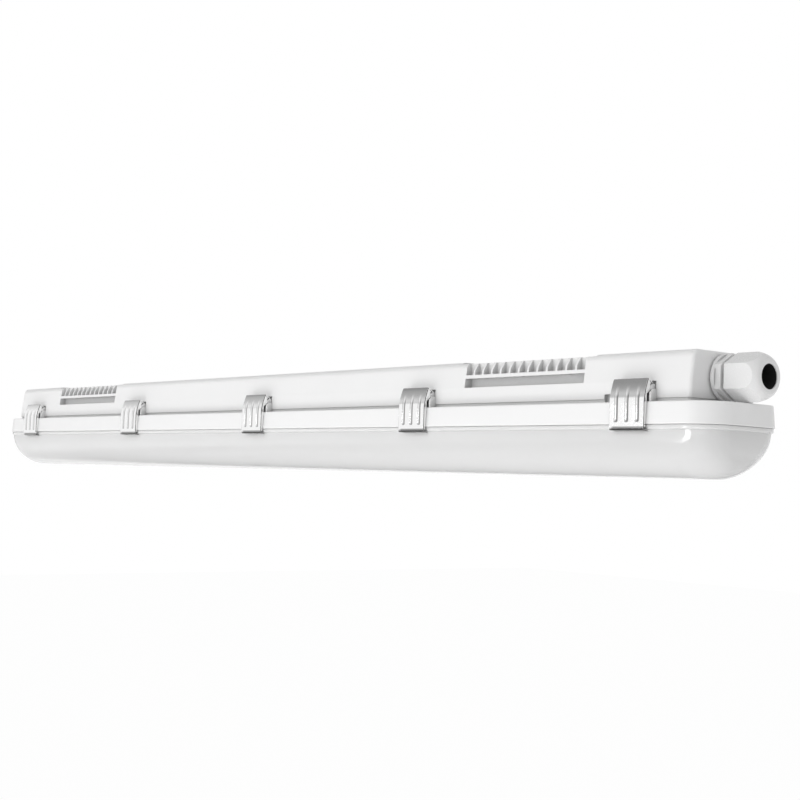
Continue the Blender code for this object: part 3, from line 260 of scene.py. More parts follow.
def turned(profile: Ring, depth: float, sides: int) -> Mesh:
    """Spin a profile about a line along X.

    Args:
        profile: Points as (x, radius), closed on themselves or starting and ending on the line.
        depth: How far the line lies below the origin.
        sides: How many sides the round form has.

    Returns:
        The closed mesh.
    """
    bm = bmesh.new()
    points = [bm.verts.new((x, 0.0, radius)) for x, radius in profile]
    edges = [bm.edges.new(pair) for pair in zip(points, points[1:])]
    if min(profile[0][1], profile[-1][1]) > WELD:
        edges.append(bm.edges.new((points[-1], points[0])))
    bmesh.ops.spin(
        bm, geom=points + edges, cent=(0.0, 0.0, 0.0), axis=(1.0, 0.0, 0.0), angle=math.tau,
        steps=sides, use_merge=True, use_duplicate=False,
    )
    bmesh.ops.translate(bm, verts=bm.verts, vec=(0.0, 0.0, -depth))
    outward(bm)
    return to_mesh(bm)


def worked(mesh: Mesh, steps: Sequence[Step]) -> Mesh:
    """Cut and join solids with exact Booleans.

    Args:
        mesh: The solid to work on.
        steps: What each tool solid does, and the tool.

    Returns:
        The finished mesh.
    """
    item = put("work", mesh)
    spent = [item]
    for kind, tool in steps:
        modifier = item.modifiers.new(kind.name, "BOOLEAN")
        modifier.operation = kind.value
        modifier.solver = "EXACT"
        modifier.object = put("tool", tool)
        spent.append(modifier.object)
    bpy.context.view_layer.update()
    ready = item.evaluated_get(bpy.context.evaluated_depsgraph_get())
    made = bpy.data.meshes.new_from_object(ready)
    for old in spent:
        data = old.data
        bpy.data.objects.remove(old)
        bpy.data.meshes.remove(data)
    return made


def mirrored(outline: Ring, side: int) -> list[Point]:
    """Turn an (outward, up) outline into (y, z) for the rear side, 1, or the front side, -1."""
    return list(outline) if side > 0 else [(-a, b) for a, b in reversed(outline)]


def arc(centre: Point, radius: float, start: float, end: float, steps: int) -> list[Point]:
    """Points along an arc.

    Args:
        centre: The arc's centre.
        radius: Its radius.
        start: Its first angle in degrees.
        end: Its last angle in degrees.
        steps: How many steps it takes.

    Returns:
        The points, both ends included.
    """
    points = []
    for step in range(steps + 1):
        angle = math.radians(start + (end - start) * step / steps)
        points.append((centre[0] + radius * math.cos(angle), centre[1] + radius * math.sin(angle)))
    return points


def rounded_ring(half_length: float, half_width: float, radius: float, steps: int) -> list[Point]:
    """Points of a rectangle with round corners.

    Args:
        half_length: Half its length.
        half_width: Half its width.
        radius: Its corners' radius.
        steps: How many steps each corner takes.

    Returns:
        The points, anticlockwise.
    """
    points: list[Point] = []
    for index, (sign_x, sign_y) in enumerate(((1, 1), (-1, 1), (-1, -1), (1, -1))):
        centre = (sign_x * (half_length - radius), sign_y * (half_width - radius))
        points += arc(centre, radius, 90.0 * index, 90.0 * index + 90.0, steps)
    return points


# Finishes


def linear(code: str) -> tuple[float, float, float, float]:
    """Turn an sRGB hex value into a linear colour.

    Args:
        code: The colour as #RRGGBB.

    Returns:
        Linear red, green, blue and an alpha of 1.
    """
    parts = [int(code[i:i + 2], 16) / 255 for i in (1, 3, 5)]
    red, green, blue = [c / 12.92 if c <= 0.04045 else ((c + 0.055) / 1.055) ** 2.4 for c in parts]
    return red, green, blue, 1.0


def add_node(
    tree: Tree,
    kind: str,
    settings: Mapping[str, Any] | None = None,
    values: Mapping[str | int, Any] | None = None,
    links: Mapping[str | int, Any] | None = None,
) -> Node:
    """Add one node with its settings, socket values and links.

    Args:
        tree: The node tree.
        kind: The shader node's type.
        settings: Attributes to set on the node.
        values: Input sockets to set, by name or place.
        links: Input sockets to link, by name or place, each to an output socket.

    Returns:
        The node.
    """
    node = tree.nodes.new(f"ShaderNode{kind}")
    for name, value in (settings or {}).items():
        setattr(node, name, value)
    for name, value in (values or {}).items():
        node.inputs[name].default_value = value
    for name, socket in (links or {}).items():
        tree.links.new(socket, node.inputs[name])
    return node


@dataclass(frozen=True)
class Finish:
    """A surface as it was made, with its colours, gloss and the grain that the tool left, and any
    painted shade that it asks for.
    """

    name: str
    colour: str
    shade: str
    roughness: float
    spread: float = 0.06
    metallic: float = 0.0
    ior: float = 1.5
    cloud_mm: float = 60.0
    grain_mm: Place = (0.8, 0.8, 0.8)
    relief_mm: float = 0.01
    edge_mm: float = 0.0
    # Reach of the painted shade that ambient occlusion lays in recesses and corners, and how much
    # of it shows.
    occlusion_shade_mm: float = 0.0
    occlusion_shade: float = 0.7
    # Grey of the painted shade laid along pressed grooves and bends, standing for dark reflections.
    painted_crease_shade: str = ""
    subsurface: float = 0.0
    subsurface_mm: float = 10.0

    @cache
    def build(self) -> bpy.types.Material:
        """Make the material, once.

        Returns:
            A material that reads the piece's own object coordinates.
        """
        material = bpy.data.materials.new(self.name)
        material.use_nodes = True
        tree = material.node_tree
        shader = tree.nodes["Principled BSDF"]
        shader.inputs["Metallic"].default_value = self.metallic
        if not self.metallic:
            shader.inputs["IOR"].default_value = self.ior
        if self.subsurface:
            shader.inputs["Subsurface Weight"].default_value = self.subsurface
            shader.inputs["Subsurface Scale"].default_value = self.subsurface_mm * MM
            shader.inputs["Subsurface Radius"].default_value = (1.0, 1.0, 1.0)
        place = add_node(tree, "TexCoord").outputs["Object"]
        self.dress_colour(tree, shader, place)
        self.dress_surface(tree, shader, place)
        return material

    def dress_colour(self, tree: Tree, shader: Node, place: Any) -> None:
        """Cloud the colour slightly, lay painted shade along the latches' grooves and bends, and
        paint shade into recesses by ambient occlusion.

        Args:
            tree: The material's nodes.
            shader: The surface shader.
            place: The socket that gives object coordinates.
        """
        mix = {"data_type": "RGBA"}
        cloud = add_node(
            tree, "TexNoise",
            values={"Scale": 1 / (self.cloud_mm * MM), "Detail": 3.0, "Roughness": 0.55},
            links={"Vector": place},
        )
        shown = add_node(
            tree, "Mix", mix, {MIX_A: linear(self.colour), MIX_B: linear(self.shade)},
            {"Factor": cloud.outputs["Fac"]},
        ).outputs[MIXED]
        # Painted shade: grey laid on by a per-vertex share along the latches' grooves and bends.
        if self.painted_crease_shade:
            shade_share = add_node(tree, "Attribute", {"attribute_name": PAINTED_SHADE_LAYER})
            shown = add_node(
                tree, "Mix", mix, {MIX_B: linear(self.painted_crease_shade)},
                {"Factor": shade_share.outputs["Fac"], MIX_A: shown},
            ).outputs[MIXED]
        # Painted shade: ambient occlusion darkens the colour in recesses and corners.
        if self.occlusion_shade_mm:
            occluded = add_node(
                tree, "AmbientOcclusion", {"samples": 8, "only_local": True},
                {"Distance": self.occlusion_shade_mm * MM}, {"Color": shown},
            )
            shown = add_node(
                tree, "Mix", mix, {"Factor": self.occlusion_shade},
                {MIX_A: shown, MIX_B: occluded.outputs["Color"]},
            ).outputs[MIXED]
        tree.links.new(shown, shader.inputs["Base Color"])

    def dress_surface(self, tree: Tree, shader: Node, place: Any) -> None:
        """Add the grain of the tool or the rolling, in gloss and in relief.

        Args:
            tree: The material's nodes.
            shader: The surface shader.
            place: The socket that gives object coordinates.
        """
        stretch = add_node(
            tree, "Mapping", values={"Scale": [1 / (size * MM) for size in self.grain_mm]},
            links={"Vector": place},
        )
        grain = add_node(
            tree, "TexNoise", values={"Scale": 1.0, "Detail": 2.0, "Roughness": 0.6},
            links={"Vector": stretch.outputs["Vector"]},
        ).outputs["Fac"]
        gloss = add_node(
            tree, "MapRange",
            values={"To Min": self.roughness - self.spread, "To Max": self.roughness + self.spread},
            links={"Value": grain},
        )
        tree.links.new(gloss.outputs["Result"], shader.inputs["Roughness"])
        relief = add_node(
            tree, "Bump", values={"Strength": 1.0, "Distance": self.relief_mm * MM},
            links={"Height": grain},
        )
        if self.edge_mm:
            soft = add_node(tree, "Bevel", {"samples": 6}, {"Radius": self.edge_mm * MM})
            tree.links.new(soft.outputs["Normal"], relief.inputs["Normal"])
        tree.links.new(relief.outputs["Normal"], shader.inputs["Normal"])


# Glass-filled or plain polycarbonate from an eroded mould: pale, satin, soft at its edges, with
# painted shade darkening its recesses.
HOUSING_PLASTIC = Finish(
    "moulded_polycarbonate", "#F0F0F0", "#EBEBEB", 0.38, ior=1.58, cloud_mm=90.0,
    grain_mm=(0.9, 0.9, 0.9), relief_mm=0.012, edge_mm=0.5, occlusion_shade_mm=10.0, occlusion_shade=0.55,
)
# Opal polycarbonate, moulded smooth: glossier, slightly deep, a little darker than the housing.
OPAL_PLASTIC = Finish(
    "opal_polycarbonate", "#E7E7E7", "#E3E3E3", 0.07, spread=0.015, ior=1.58, cloud_mm=140.0,
    grain_mm=(6.0, 3.0, 3.0), relief_mm=0.006, edge_mm=0.6, subsurface=0.5,
)
# Stainless sheet, rolled up and down the latch: fine upright lines in its gloss, and grey painted
# shade along its grooves' edges and its hook's bend, standing for dark reflections, with painted
# shade in its recesses too. The lines are drawn coarser than the rolls leave them, so that they
# show.
ROLLED_STAINLESS = Finish(
    "rolled_stainless_steel", "#F7F7F7", "#F0F0F0", 0.13, spread=0.03, metallic=1.0, cloud_mm=14.0,
    grain_mm=(0.35, 6.0, 14.0), relief_mm=0.004, edge_mm=0.35, occlusion_shade_mm=3.0, painted_crease_shade="#6E6E6E",
)
# Nylon gland: the same grey as the housing or a shade darker, with a fine satin skin and painted
# shade in its recesses.
GLAND_NYLON = Finish(
    "moulded_nylon", "#E9E9E9", "#E4E4E4", 0.26, ior=1.53, cloud_mm=20.0,
    grain_mm=(0.6, 0.6, 0.6), relief_mm=0.01, edge_mm=0.5, occlusion_shade_mm=4.0,
)
# Rubber seal and washer: black, matt and slightly dusty.
SEAL_RUBBER = Finish(
    "seal_rubber", "#121212", "#1B1B1B", 0.72, ior=1.52, cloud_mm=8.0,
    grain_mm=(0.5, 0.5, 0.5), relief_mm=0.02,
)
# Foamed polyurethane gasket: light grey with visible cells.
GASKET_FOAM = Finish(
    "foamed_polyurethane", "#BFC1C1", "#A9ABAB", 0.9, spread=0.05, cloud_mm=12.0,
    grain_mm=(0.7, 0.7, 0.7), relief_mm=0.08,
)
# Powder coated steel tray: white with a light orange peel.
POWDER_COAT = Finish(
    "powder_coated_steel", "#EEEEEC", "#E7E7E4", 0.45, cloud_mm=50.0,
    grain_mm=(1.6, 1.6, 1.6), relief_mm=0.02,
)
# Light board: white solder mask over fibreglass, even and half glossy.
SOLDER_MASK = Finish("white_solder_mask", "#F0F0EC", "#E6E6E0", 0.35, cloud_mm=9.0)
# Driver case and terminal block: moulded ABS, slightly warm and matt.
ABS_CASE = Finish(
    "moulded_abs", "#DADAD6", "#D0D0CC", 0.5, ior=1.52, cloud_mm=30.0,
    grain_mm=(0.7, 0.7, 0.7), relief_mm=0.02,
)
# Insulated lead: soft white vinyl.
VINYL_SHEATH = Finish(
    "vinyl_sheath", "#D8D8D4", "#CCCCC8", 0.5, ior=1.53, cloud_mm=10.0, grain_mm=(1.0, 1.0, 1.0)
)
# Screws: bright zinc plate.
ZINC_PLATE = Finish(
    "zinc_plated_steel", "#C8CACC", "#B4B8BC", 0.33, metallic=1.0, cloud_mm=3.0,
    grain_mm=(0.3, 0.3, 0.3), relief_mm=0.004,
)


# The fixture


@dataclass(frozen=True)
class FixtureSizes:
    """The sizes that several pieces share."""

    band_length: float = 1.148
    shelf_width: float = 0.008
    wall: float = 0.0025
    end_shelf: float = 0.026
    band_top: float = 0.0387
    band_height: float = 0.017
    corner_radius: float = 0.026
    skirt_height: float = 0.009
    foot_width: float = 0.076
    hinge_depth: float = 0.028
    hinge_standoff: float = 0.0012
    latch_width: float = 0.0335
    latch_sheet: float = 0.0009
    latch_end_space: float = 0.051
    bar_radius: float = 0.0026
    ear_gap: float = 0.0006
    ridge_rise: float = 0.0064
    lip: float = 0.0034
    gap: float = 0.0003
    running_gap: float = 0.0005
    gland_across_flats: float = 0.032
    thread_radius: float = 0.0122
    overrun: float = 0.004

    @property
    def half_housing(self) -> float:
        """Half the length of the hat section."""
        return self.band_length / 2 - self.end_shelf

    @property
    def half_width(self) -> float:
        """Half the band's width."""
        return self.foot_width / 2 + self.shelf_width

    @property
    def band_bottom(self) -> float:
        """Depth of the band's lower edge."""
        return self.band_top + self.band_height

    @property
    def lip_bottom(self) -> float:
        """Depth of the underside of the diffuser's lip."""
        return self.band_bottom + self.gap + self.lip

    @property
    def shelf_bottom(self) -> float:
        """Depth of the shelf's underside."""
        return self.band_top + self.wall

    @property
    def hinge_out(self) -> float:
        """How far out the hinge line lies."""
        return self.foot_width / 2 + self.hinge_standoff

    @property
    def knuckle_radius(self) -> float:
        """Radius of the latch's knuckle at the middle of its sheet."""
        return self.bar_radius + self.running_gap + self.latch_sheet / 2

    @property
    def ear_start(self) -> float:
        """How far from a latch's middle its ears start."""
        return self.latch_width / 2 + self.ear_gap

    @property
    def gland_radius(self) -> float:
        """Radius of the corners of the gland's hexagon."""
        return self.gland_across_flats / math.sqrt(3)

    @property
    def gland_depth(self) -> float:
        """Depth of the gland's line."""
        return self.band_top - self.running_gap - self.gland_radius

    @property
    def latch_places(self) -> list[float]:
        """Where the five latches of a side lie along X."""
        pitch = (self.half_housing - self.latch_end_space) / 2
        return [pitch * index for index in range(-2, 3)]

    def band_ring(self, inset: float, steps: int = 14) -> list[Point]:
        """The band's outline as (x, y), drawn in by an inset, with so many steps at a corner."""
        half_length = self.band_length / 2 - inset
        return rounded_ring(half_length, self.half_width - inset, self.corner_radius - inset, steps)


def show_piece(
    name: str, mesh: Mesh, finish: Finish, body: str, node: str, sharp: float = 32.0
) -> None:
    """Put a finished piece in the scene on its body, and hide the node that it replaces.

    Args:
        name: The piece's name.
        mesh: Its mesh, already in place.
        finish: Its finish.
        body: The body that carries it.
        node: The node that it replaces.
        sharp: Edges sharper than this many degrees stay sharp.
    """
    mesh.name = name
    mesh.materials.clear()
    mesh.materials.append(finish.build())
    mesh.shade_smooth()
    mesh.set_sharp_from_angle(angle=math.radians(sharp))
    piece = put(name, mesh)
    even = piece.modifiers.new("Even normals", "WEIGHTED_NORMAL")
    even.keep_sharp = True
    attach(piece, body)
    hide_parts(node)
    LOG.info("%s: %d faces", name, len(mesh.polygons))


@dataclass
class Housing:
    """The moulded housing: hat section, band, finned shoulders, hinge bars and cable entries."""

    sizes: FixtureSizes
    top_step: float = 0.010
    shoulder_radius: float = 0.007
    waist_draft: float = 0.0008
    waist_depth: float = 0.023
    groove_height: float = 0.0026
    groove_depth: float = 0.0009
    groove_steps: int = 6
    end_radius: float = 0.0025
    end_steps: int = 5
    band_draft: float = 0.001
    band_edge: float = 0.0008
    edge_segments: int = 3
    slot_share: float = 0.75
    slot_length: float = 0.138
    slot_top: float = 0.0146
    slot_height: float = 0.0078
    slot_reach: float = 0.0076
    rail_height: float = 0.003
    rail_thickness: float = 0.0035
    fin_thickness: float = 0.002
    fin_crest: float = 0.001
    fins: int = 12
    seat_depth: float = 0.0015
    seat_margin: float = 0.0085
    ear_thickness: float = 0.0019
    ear_front: float = 0.0066
    bar_sides: int = 20
    hole_sides: int = 48
    recess_width: float = 0.006
    recess_offset: float = 0.0126
    knockout_groove: float = 0.001

    @property
    def slot_places(self) -> Point:
        """Where the two bracket slots lie along X."""
        place = self.slot_share * (self.sizes.half_housing - self.sizes.latch_end_space)
        return -place, place

    @property
    def slot_bottom(self) -> float:
        """Height of the slots' lower side."""
        return -self.slot_top - self.slot_height

    @property
    def half_waist(self) -> float:
        """Half the hat's width at its waist."""
        return self.sizes.foot_width / 2 - self.waist_draft

    @property
    def slot_floor(self) -> float:
        """How far out the slots' and fins' floor lies."""
        return self.half_waist - self.slot_reach

    @property
    def pocket_floor(self) -> float:
        """How far out the floor of the pocket behind each latch lies."""
        sizes = self.sizes
        return sizes.hinge_out - sizes.knuckle_radius - sizes.latch_sheet / 2 - sizes.running_gap

    @property
    def recess_place(self) -> float:
        """Where the small recess beside the latch next to the gland lies along X."""
        return self.sizes.latch_places[-1] - self.sizes.latch_width / 2 - self.recess_offset

    def section(self, inset: float, foot: float, steps: int = 10) -> list[Point]:
        """The hat's section.

        Args:
            inset: How far inside the outer form.
            foot: Depth of the section's foot.
            steps: How many steps each shoulder takes.

        Returns:
            The points as (y, z).
        """
        half_foot = self.sizes.foot_width / 2
        centre = (half_foot - self.top_step, -self.shoulder_radius)
        half = arc(centre, self.shoulder_radius - inset, 90.0, 0.0, steps)
        half.append((self.half_waist - inset, -self.waist_depth))
        half += [(half_foot - inset, -self.sizes.band_top), (half_foot - inset, -foot)]
        return half + [(-y, z) for y, z in reversed(half)]

    def hat(self) -> Mesh:
        """The hat section with its ends eased by rings of insets.

        Returns:
            The solid hat.
        """
        straight = self.sizes.half_housing - self.end_radius
        foot = self.sizes.shelf_bottom + self.end_radius
        bm = opened(prism(self.section(0.0, foot), -straight, 2 * straight))
        ends = [face for face in bm.faces if abs(face.normal.x) > 0.9]
        for step in range(self.end_steps):
            before = math.radians(90 * step / self.end_steps)
            after = math.radians(90 * (step + 1) / self.end_steps)
            inward = self.end_radius * (math.cos(before) - math.cos(after))
            along = self.end_radius * (math.sin(after) - math.sin(before))
            bmesh.ops.inset_individual(
                bm, faces=ends, thickness=inward, depth=along, use_even_offset=True
            )
        return to_mesh(bm)

    def band(self) -> Mesh:
        """The drafted band with its rims rounded.

        Returns:
            The solid band.
        """
        sizes = self.sizes
        ring = sizes.band_ring(0.0)
        solid = prism(ring, -sizes.band_bottom, sizes.band_height, Plane.XY, self.band_draft)
        bm = opened(solid)
        rims = [e for e in bm.edges if abs(e.verts[0].co.z - e.verts[1].co.z) < sizes.gap]
        bmesh.ops.bevel(
            bm, geom=rims, offset=self.band_edge, offset_type="OFFSET",
            segments=self.edge_segments, profile=0.5, affect="EDGES", clamp_overlap=True,
            material=-1,
        )
        return to_mesh(bm)

    def cavity(self) -> Mesh:
        """The hollow inside, which stays clear of the seats, slots and hinge pockets.

        Returns:
            The hollow as a solid.
        """
        sizes = self.sizes
        half = sizes.half_housing - sizes.wall
        foot = sizes.shelf_bottom + sizes.overrun
        inside = prism(self.section(sizes.wall, foot), -half, 2 * half)
        outside = sizes.half_width
        inner = self.slot_floor - sizes.wall
        bottom = self.slot_bottom - sizes.wall
        kept, seats, pockets = [], [], []
        for place in self.slot_places:
            reach = self.slot_length / 2 + sizes.wall
            kept += both_sides(
                (place - reach, place + reach), (inner, outside), (bottom, sizes.overrun)
            )
            reach += self.seat_margin
            low = (place - reach, -outside - sizes.overrun, -self.seat_depth - sizes.wall)
            seats.append((low, (place + reach, outside + sizes.overrun, 2 * sizes.overrun)))
        near = self.pocket_floor - sizes.wall
        top = -sizes.hinge_depth + sizes.ridge_rise + sizes.wall
        up = (-sizes.shelf_bottom, top)
        zones = [(x, sizes.ear_start + sizes.wall) for x in sizes.latch_places]
        zones.append((self.recess_place, self.recess_width / 2 + sizes.wall))
        for x, reach in zones:
            pockets += both_sides((x - reach, x + reach), (near, outside), up)
        return worked(inside, Cut.AWAY.by(blocks(kept), blocks(seats), blocks(pockets)))

    def mouth_cuts(self) -> list[Step]:
        """The gasket channel, the mouth and the skirt's lower edge.

        Returns:
            The cuts in order.
        """
        sizes = self.sizes
        deep = sizes.band_bottom + sizes.overrun
        skirt = sizes.shelf_width
        height = deep - sizes.shelf_bottom
        ring = prism(sizes.band_ring(sizes.wall), -deep, height, Plane.XY)
        core = prism(sizes.band_ring(skirt), -deep - sizes.gap, height + 2 * sizes.gap, Plane.XY)
        mouth = prism(sizes.band_ring(skirt + sizes.wall), -deep, height, Plane.XY)
        edge = sizes.band_ring((skirt + sizes.wall) / 2)
        trim = prism(edge, -deep, height - sizes.skirt_height, Plane.XY)
        return Cut.AWAY.by(worked(ring, Cut.AWAY.by(core)), mouth, trim)

    def shoulder_cuts(self) -> list[Step]:
        """The bracket seats, the gaps between the fins and the long slots below them.

        Returns:
            The cuts in order.
        """
        sizes = self.sizes
        outside = sizes.half_width
        pitch = (self.slot_length - 2 * sizes.gap + self.fin_thickness) / (self.fins + 1)
        rail = self.half_waist - self.rail_thickness
        rail_top = -self.slot_top + self.rail_height
        floor = self.slot_floor + sizes.gap
        low_level = -self.slot_top - self.slot_height / 4
        between = [
            (floor, low_level), (rail, low_level), (rail, rail_top),
            (outside, rail_top), (outside, sizes.overrun), (floor, sizes.overrun),
        ]
        crest = floor + self.fin_crest
        slope = [
            (self.half_waist, rail_top + sizes.gap), (outside, rail_top + sizes.gap),
            (outside, 2 * sizes.overrun), (crest, 2 * sizes.overrun), (crest, -self.seat_depth),
        ]
        seats, slots, gaps, slopes = [], [], [], []
        for place in self.slot_places:
            start = place - self.slot_length / 2
            end = start + self.slot_length
            low = (start - self.seat_margin, -outside, -self.seat_depth)
            seats.append((low, (end + self.seat_margin, outside, sizes.overrun)))
            slots += both_sides(
                (start, end), (self.slot_floor, outside), (self.slot_bottom, -self.slot_top)
            )
            run = self.slot_length - 4 * sizes.gap
            for side in (-1, 1):
                slopes.append(prism(mirrored(slope, side), start + 2 * sizes.gap, run))
                for index in range(self.fins + 1):
                    gap_start = start + sizes.gap + pitch * index
                    width = pitch - self.fin_thickness
                    gaps.append(prism(mirrored(between, side), gap_start, width))
        joined = [to_mesh(opened(*meshes)) for meshes in (slopes, gaps)]
        return Cut.AWAY.by(blocks(seats), *joined, blocks(slots))

    def foot_groove(self) -> list[Step]:
        """The fine shadow groove where the walls meet the band.

        Returns:
            The cut.
        """
        sizes = self.sizes
        base = -sizes.band_top + sizes.gap / 2
        length = sizes.half_housing - self.groove_depth
        width = sizes.foot_width / 2 - self.groove_depth
        inner = rounded_ring(length, width, self.end_radius, self.groove_steps)
        ring = prism(sizes.band_ring(0.0), base, self.groove_height, Plane.XY)
        core = prism(inner, base - sizes.gap, self.groove_height + 2 * sizes.gap, Plane.XY)
        return Cut.AWAY.by(worked(ring, Cut.AWAY.by(core)))

    def hinge_cuts(self) -> list[Step]:
        """The pockets behind the latches, the ears, the hinge bars and the small recess.

        Returns:
            The cuts and joins in order.
        """
        sizes = self.sizes
        inner = self.pocket_floor - sizes.wall / 2
        foot = -sizes.band_top - sizes.wall / 4
        front = sizes.half_width - self.band_draft - self.band_edge - sizes.gap
        head = -sizes.hinge_depth - sizes.bar_radius / 2
        ear_top = -sizes.band_top + self.ear_front
        outline = [
            (inner, foot), (front, foot), (front, ear_top),
            (sizes.hinge_out + sizes.bar_radius / 2, head), (inner, head),
        ]
        reach = sizes.ear_start + self.ear_thickness / 2
        bar_reach = sizes.ear_start + sizes.gap
        top = -sizes.hinge_depth + sizes.knuckle_radius + sizes.latch_sheet + sizes.running_gap
        out = (self.pocket_floor, sizes.half_width)
        low = -sizes.band_top + sizes.gap
        pockets, ears, bars = [], [], []
        for x in sizes.latch_places:
            pockets += both_sides((x - reach, x + reach), out, (low, top))
            for side in (-1, 1):
                for start in (x - sizes.ear_start - self.ear_thickness, x + sizes.ear_start):
                    ears.append(prism(mirrored(outline, side), start, self.ear_thickness))
                bar_start = (x - bar_reach, side * sizes.hinge_out, -sizes.hinge_depth)
                bars.append((bar_start, 2 * bar_reach, sizes.bar_radius))
        half = self.recess_width / 2
        along = (self.recess_place - half, self.recess_place + half)
        pockets += both_sides(along, out, (low, ear_top))
        joins = Cut.JOIN.by(to_mesh(opened(*ears)), rods(bars, self.bar_sides))
        return Cut.AWAY.by(blocks(pockets)) + joins

    def entry_cuts(self) -> list[Step]:
        """The gland's hole and the knock-out ring in the far end.

        Returns:
            The cuts in order.
        """
        sizes = self.sizes
        end = sizes.half_housing
        start = (end - sizes.wall - sizes.overrun, 0.0, -sizes.gland_depth)
        length = sizes.wall + 2 * sizes.overrun
        hole = rods([(start, length, sizes.thread_radius + sizes.gap)], self.hole_sides)
        outer = sizes.thread_radius
        inner = outer - self.knockout_groove
        outside, floor = -end - sizes.overrun, -end + sizes.wall / 2
        ring = [(outside, inner), (floor, inner), (floor, outer), (outside, outer)]
        return Cut.AWAY.by(hole, turned(ring, sizes.gland_depth, self.hole_sides))

    def build(self) -> None:
        """Make the housing."""
        steps = Cut.JOIN.by(self.band()) + Cut.AWAY.by(self.cavity())
        steps += self.mouth_cuts() + self.shoulder_cuts() + self.foot_groove()
        steps += self.hinge_cuts() + self.entry_cuts()
        mesh = worked(self.hat(), steps)
        show_piece(
            "moulded_housing", mesh, HOUSING_PLASTIC, "fixture", "housing"
        )


@dataclass
class Diffuser:
    """The milky trough with its flange lip and the tongue that presses the gasket."""

    sizes: FixtureSizes
    height: float = 0.095
    wall: float = 0.002
    lip_inset: float = 0.001
    lip_edge: float = 0.0012
    tongue: float = 0.0022
    dish_inset: float = 0.0028
    end_curve: float = 0.030
    floor_width: float = 0.014
    gasket: float = 0.0028
    steps: int = 26
    corner_steps: int = 16
    edge_steps: int = 4
    curve_power: float = 2.4
    corner_power: float = 1.5
    corner_share: float = 0.98

    def dish_level(self, step: int, wall: float) -> tuple[list[Point], float]:
        """One level of the dish.

        Args:
            step: From 0 at the lip to the last step at the floor, in even turns of the curve.
            wall: How far inside the outer form.

        Returns:
            The level's outline and its height.
        """
        turn = step / self.steps * math.pi / 2
        down = math.sin(turn) ** (2 / self.curve_power)
        curve = math.cos(turn)
        top_half = self.sizes.half_width - self.dish_inset
        floor_half = self.floor_width / 2
        half_width = floor_half + (top_half - floor_half) * curve - wall
        half_top = self.sizes.band_length / 2 - self.dish_inset
        half_length = half_top - self.end_curve * (1 - curve) - wall
        first = (self.sizes.corner_radius - self.dish_inset) / top_half
        share = (first + (1 - first) * down ** self.corner_power) * self.corner_share
        ring = rounded_ring(half_length, half_width, half_width * share, self.corner_steps)
        top = -self.sizes.lip_bottom
        return ring, top - (top + self.height - wall) * down

    def levels(self) -> list[tuple[list[Point], float]]:
        """Every level from the outer floor up, over the lip and down to the inner floor.

        Returns:
            The outlines with their heights.
        """
        sizes = self.sizes
        lip_top = -sizes.band_bottom - sizes.gap
        tongue_out = sizes.shelf_width - sizes.running_gap
        tongue_in = tongue_out - self.tongue
        tongue_top = -sizes.shelf_bottom - 2 * sizes.gap - self.gasket
        centre = (self.lip_inset + self.lip_edge, self.lip_edge - sizes.lip_bottom)
        rim = arc(centre, self.lip_edge, 270.0, 180.0, self.edge_steps) + [
            (self.lip_inset, lip_top), (tongue_in, lip_top), (tongue_in, tongue_top),
            (tongue_out, tongue_top), (tongue_out, lip_top - sizes.lip / 2),
        ]
        rows = [self.dish_level(step, 0.0) for step in range(self.steps, -1, -1)]
        rows += [(sizes.band_ring(inset, self.corner_steps), height) for inset, height in rim]
        return rows + [self.dish_level(step, self.wall) for step in range(self.steps + 1)]

    def build(self) -> None:
        """Make the diffuser by drawing its rim up, over and down again."""
        (ring, height), *rows = self.levels()
        bm = bmesh.new()
        verts = [bm.verts.new((x, y, height)) for x, y in ring]
        bm.faces.new(verts)
        edges = [bm.edges.get((a, b)) for a, b in zip(verts, verts[1:] + verts[:1])]
        for ring, height in rows:
            edges, verts = extruded(bm, edges, verts)
            for vert, (x, y) in zip(verts, ring):
                vert.co = (x, y, height)
        bm.faces.new(verts)
        outward(bm)
        show_piece(
            "milky_diffuser", to_mesh(bm), OPAL_PLASTIC, "fixture", "diffuser",
            sharp=40.0,
        )


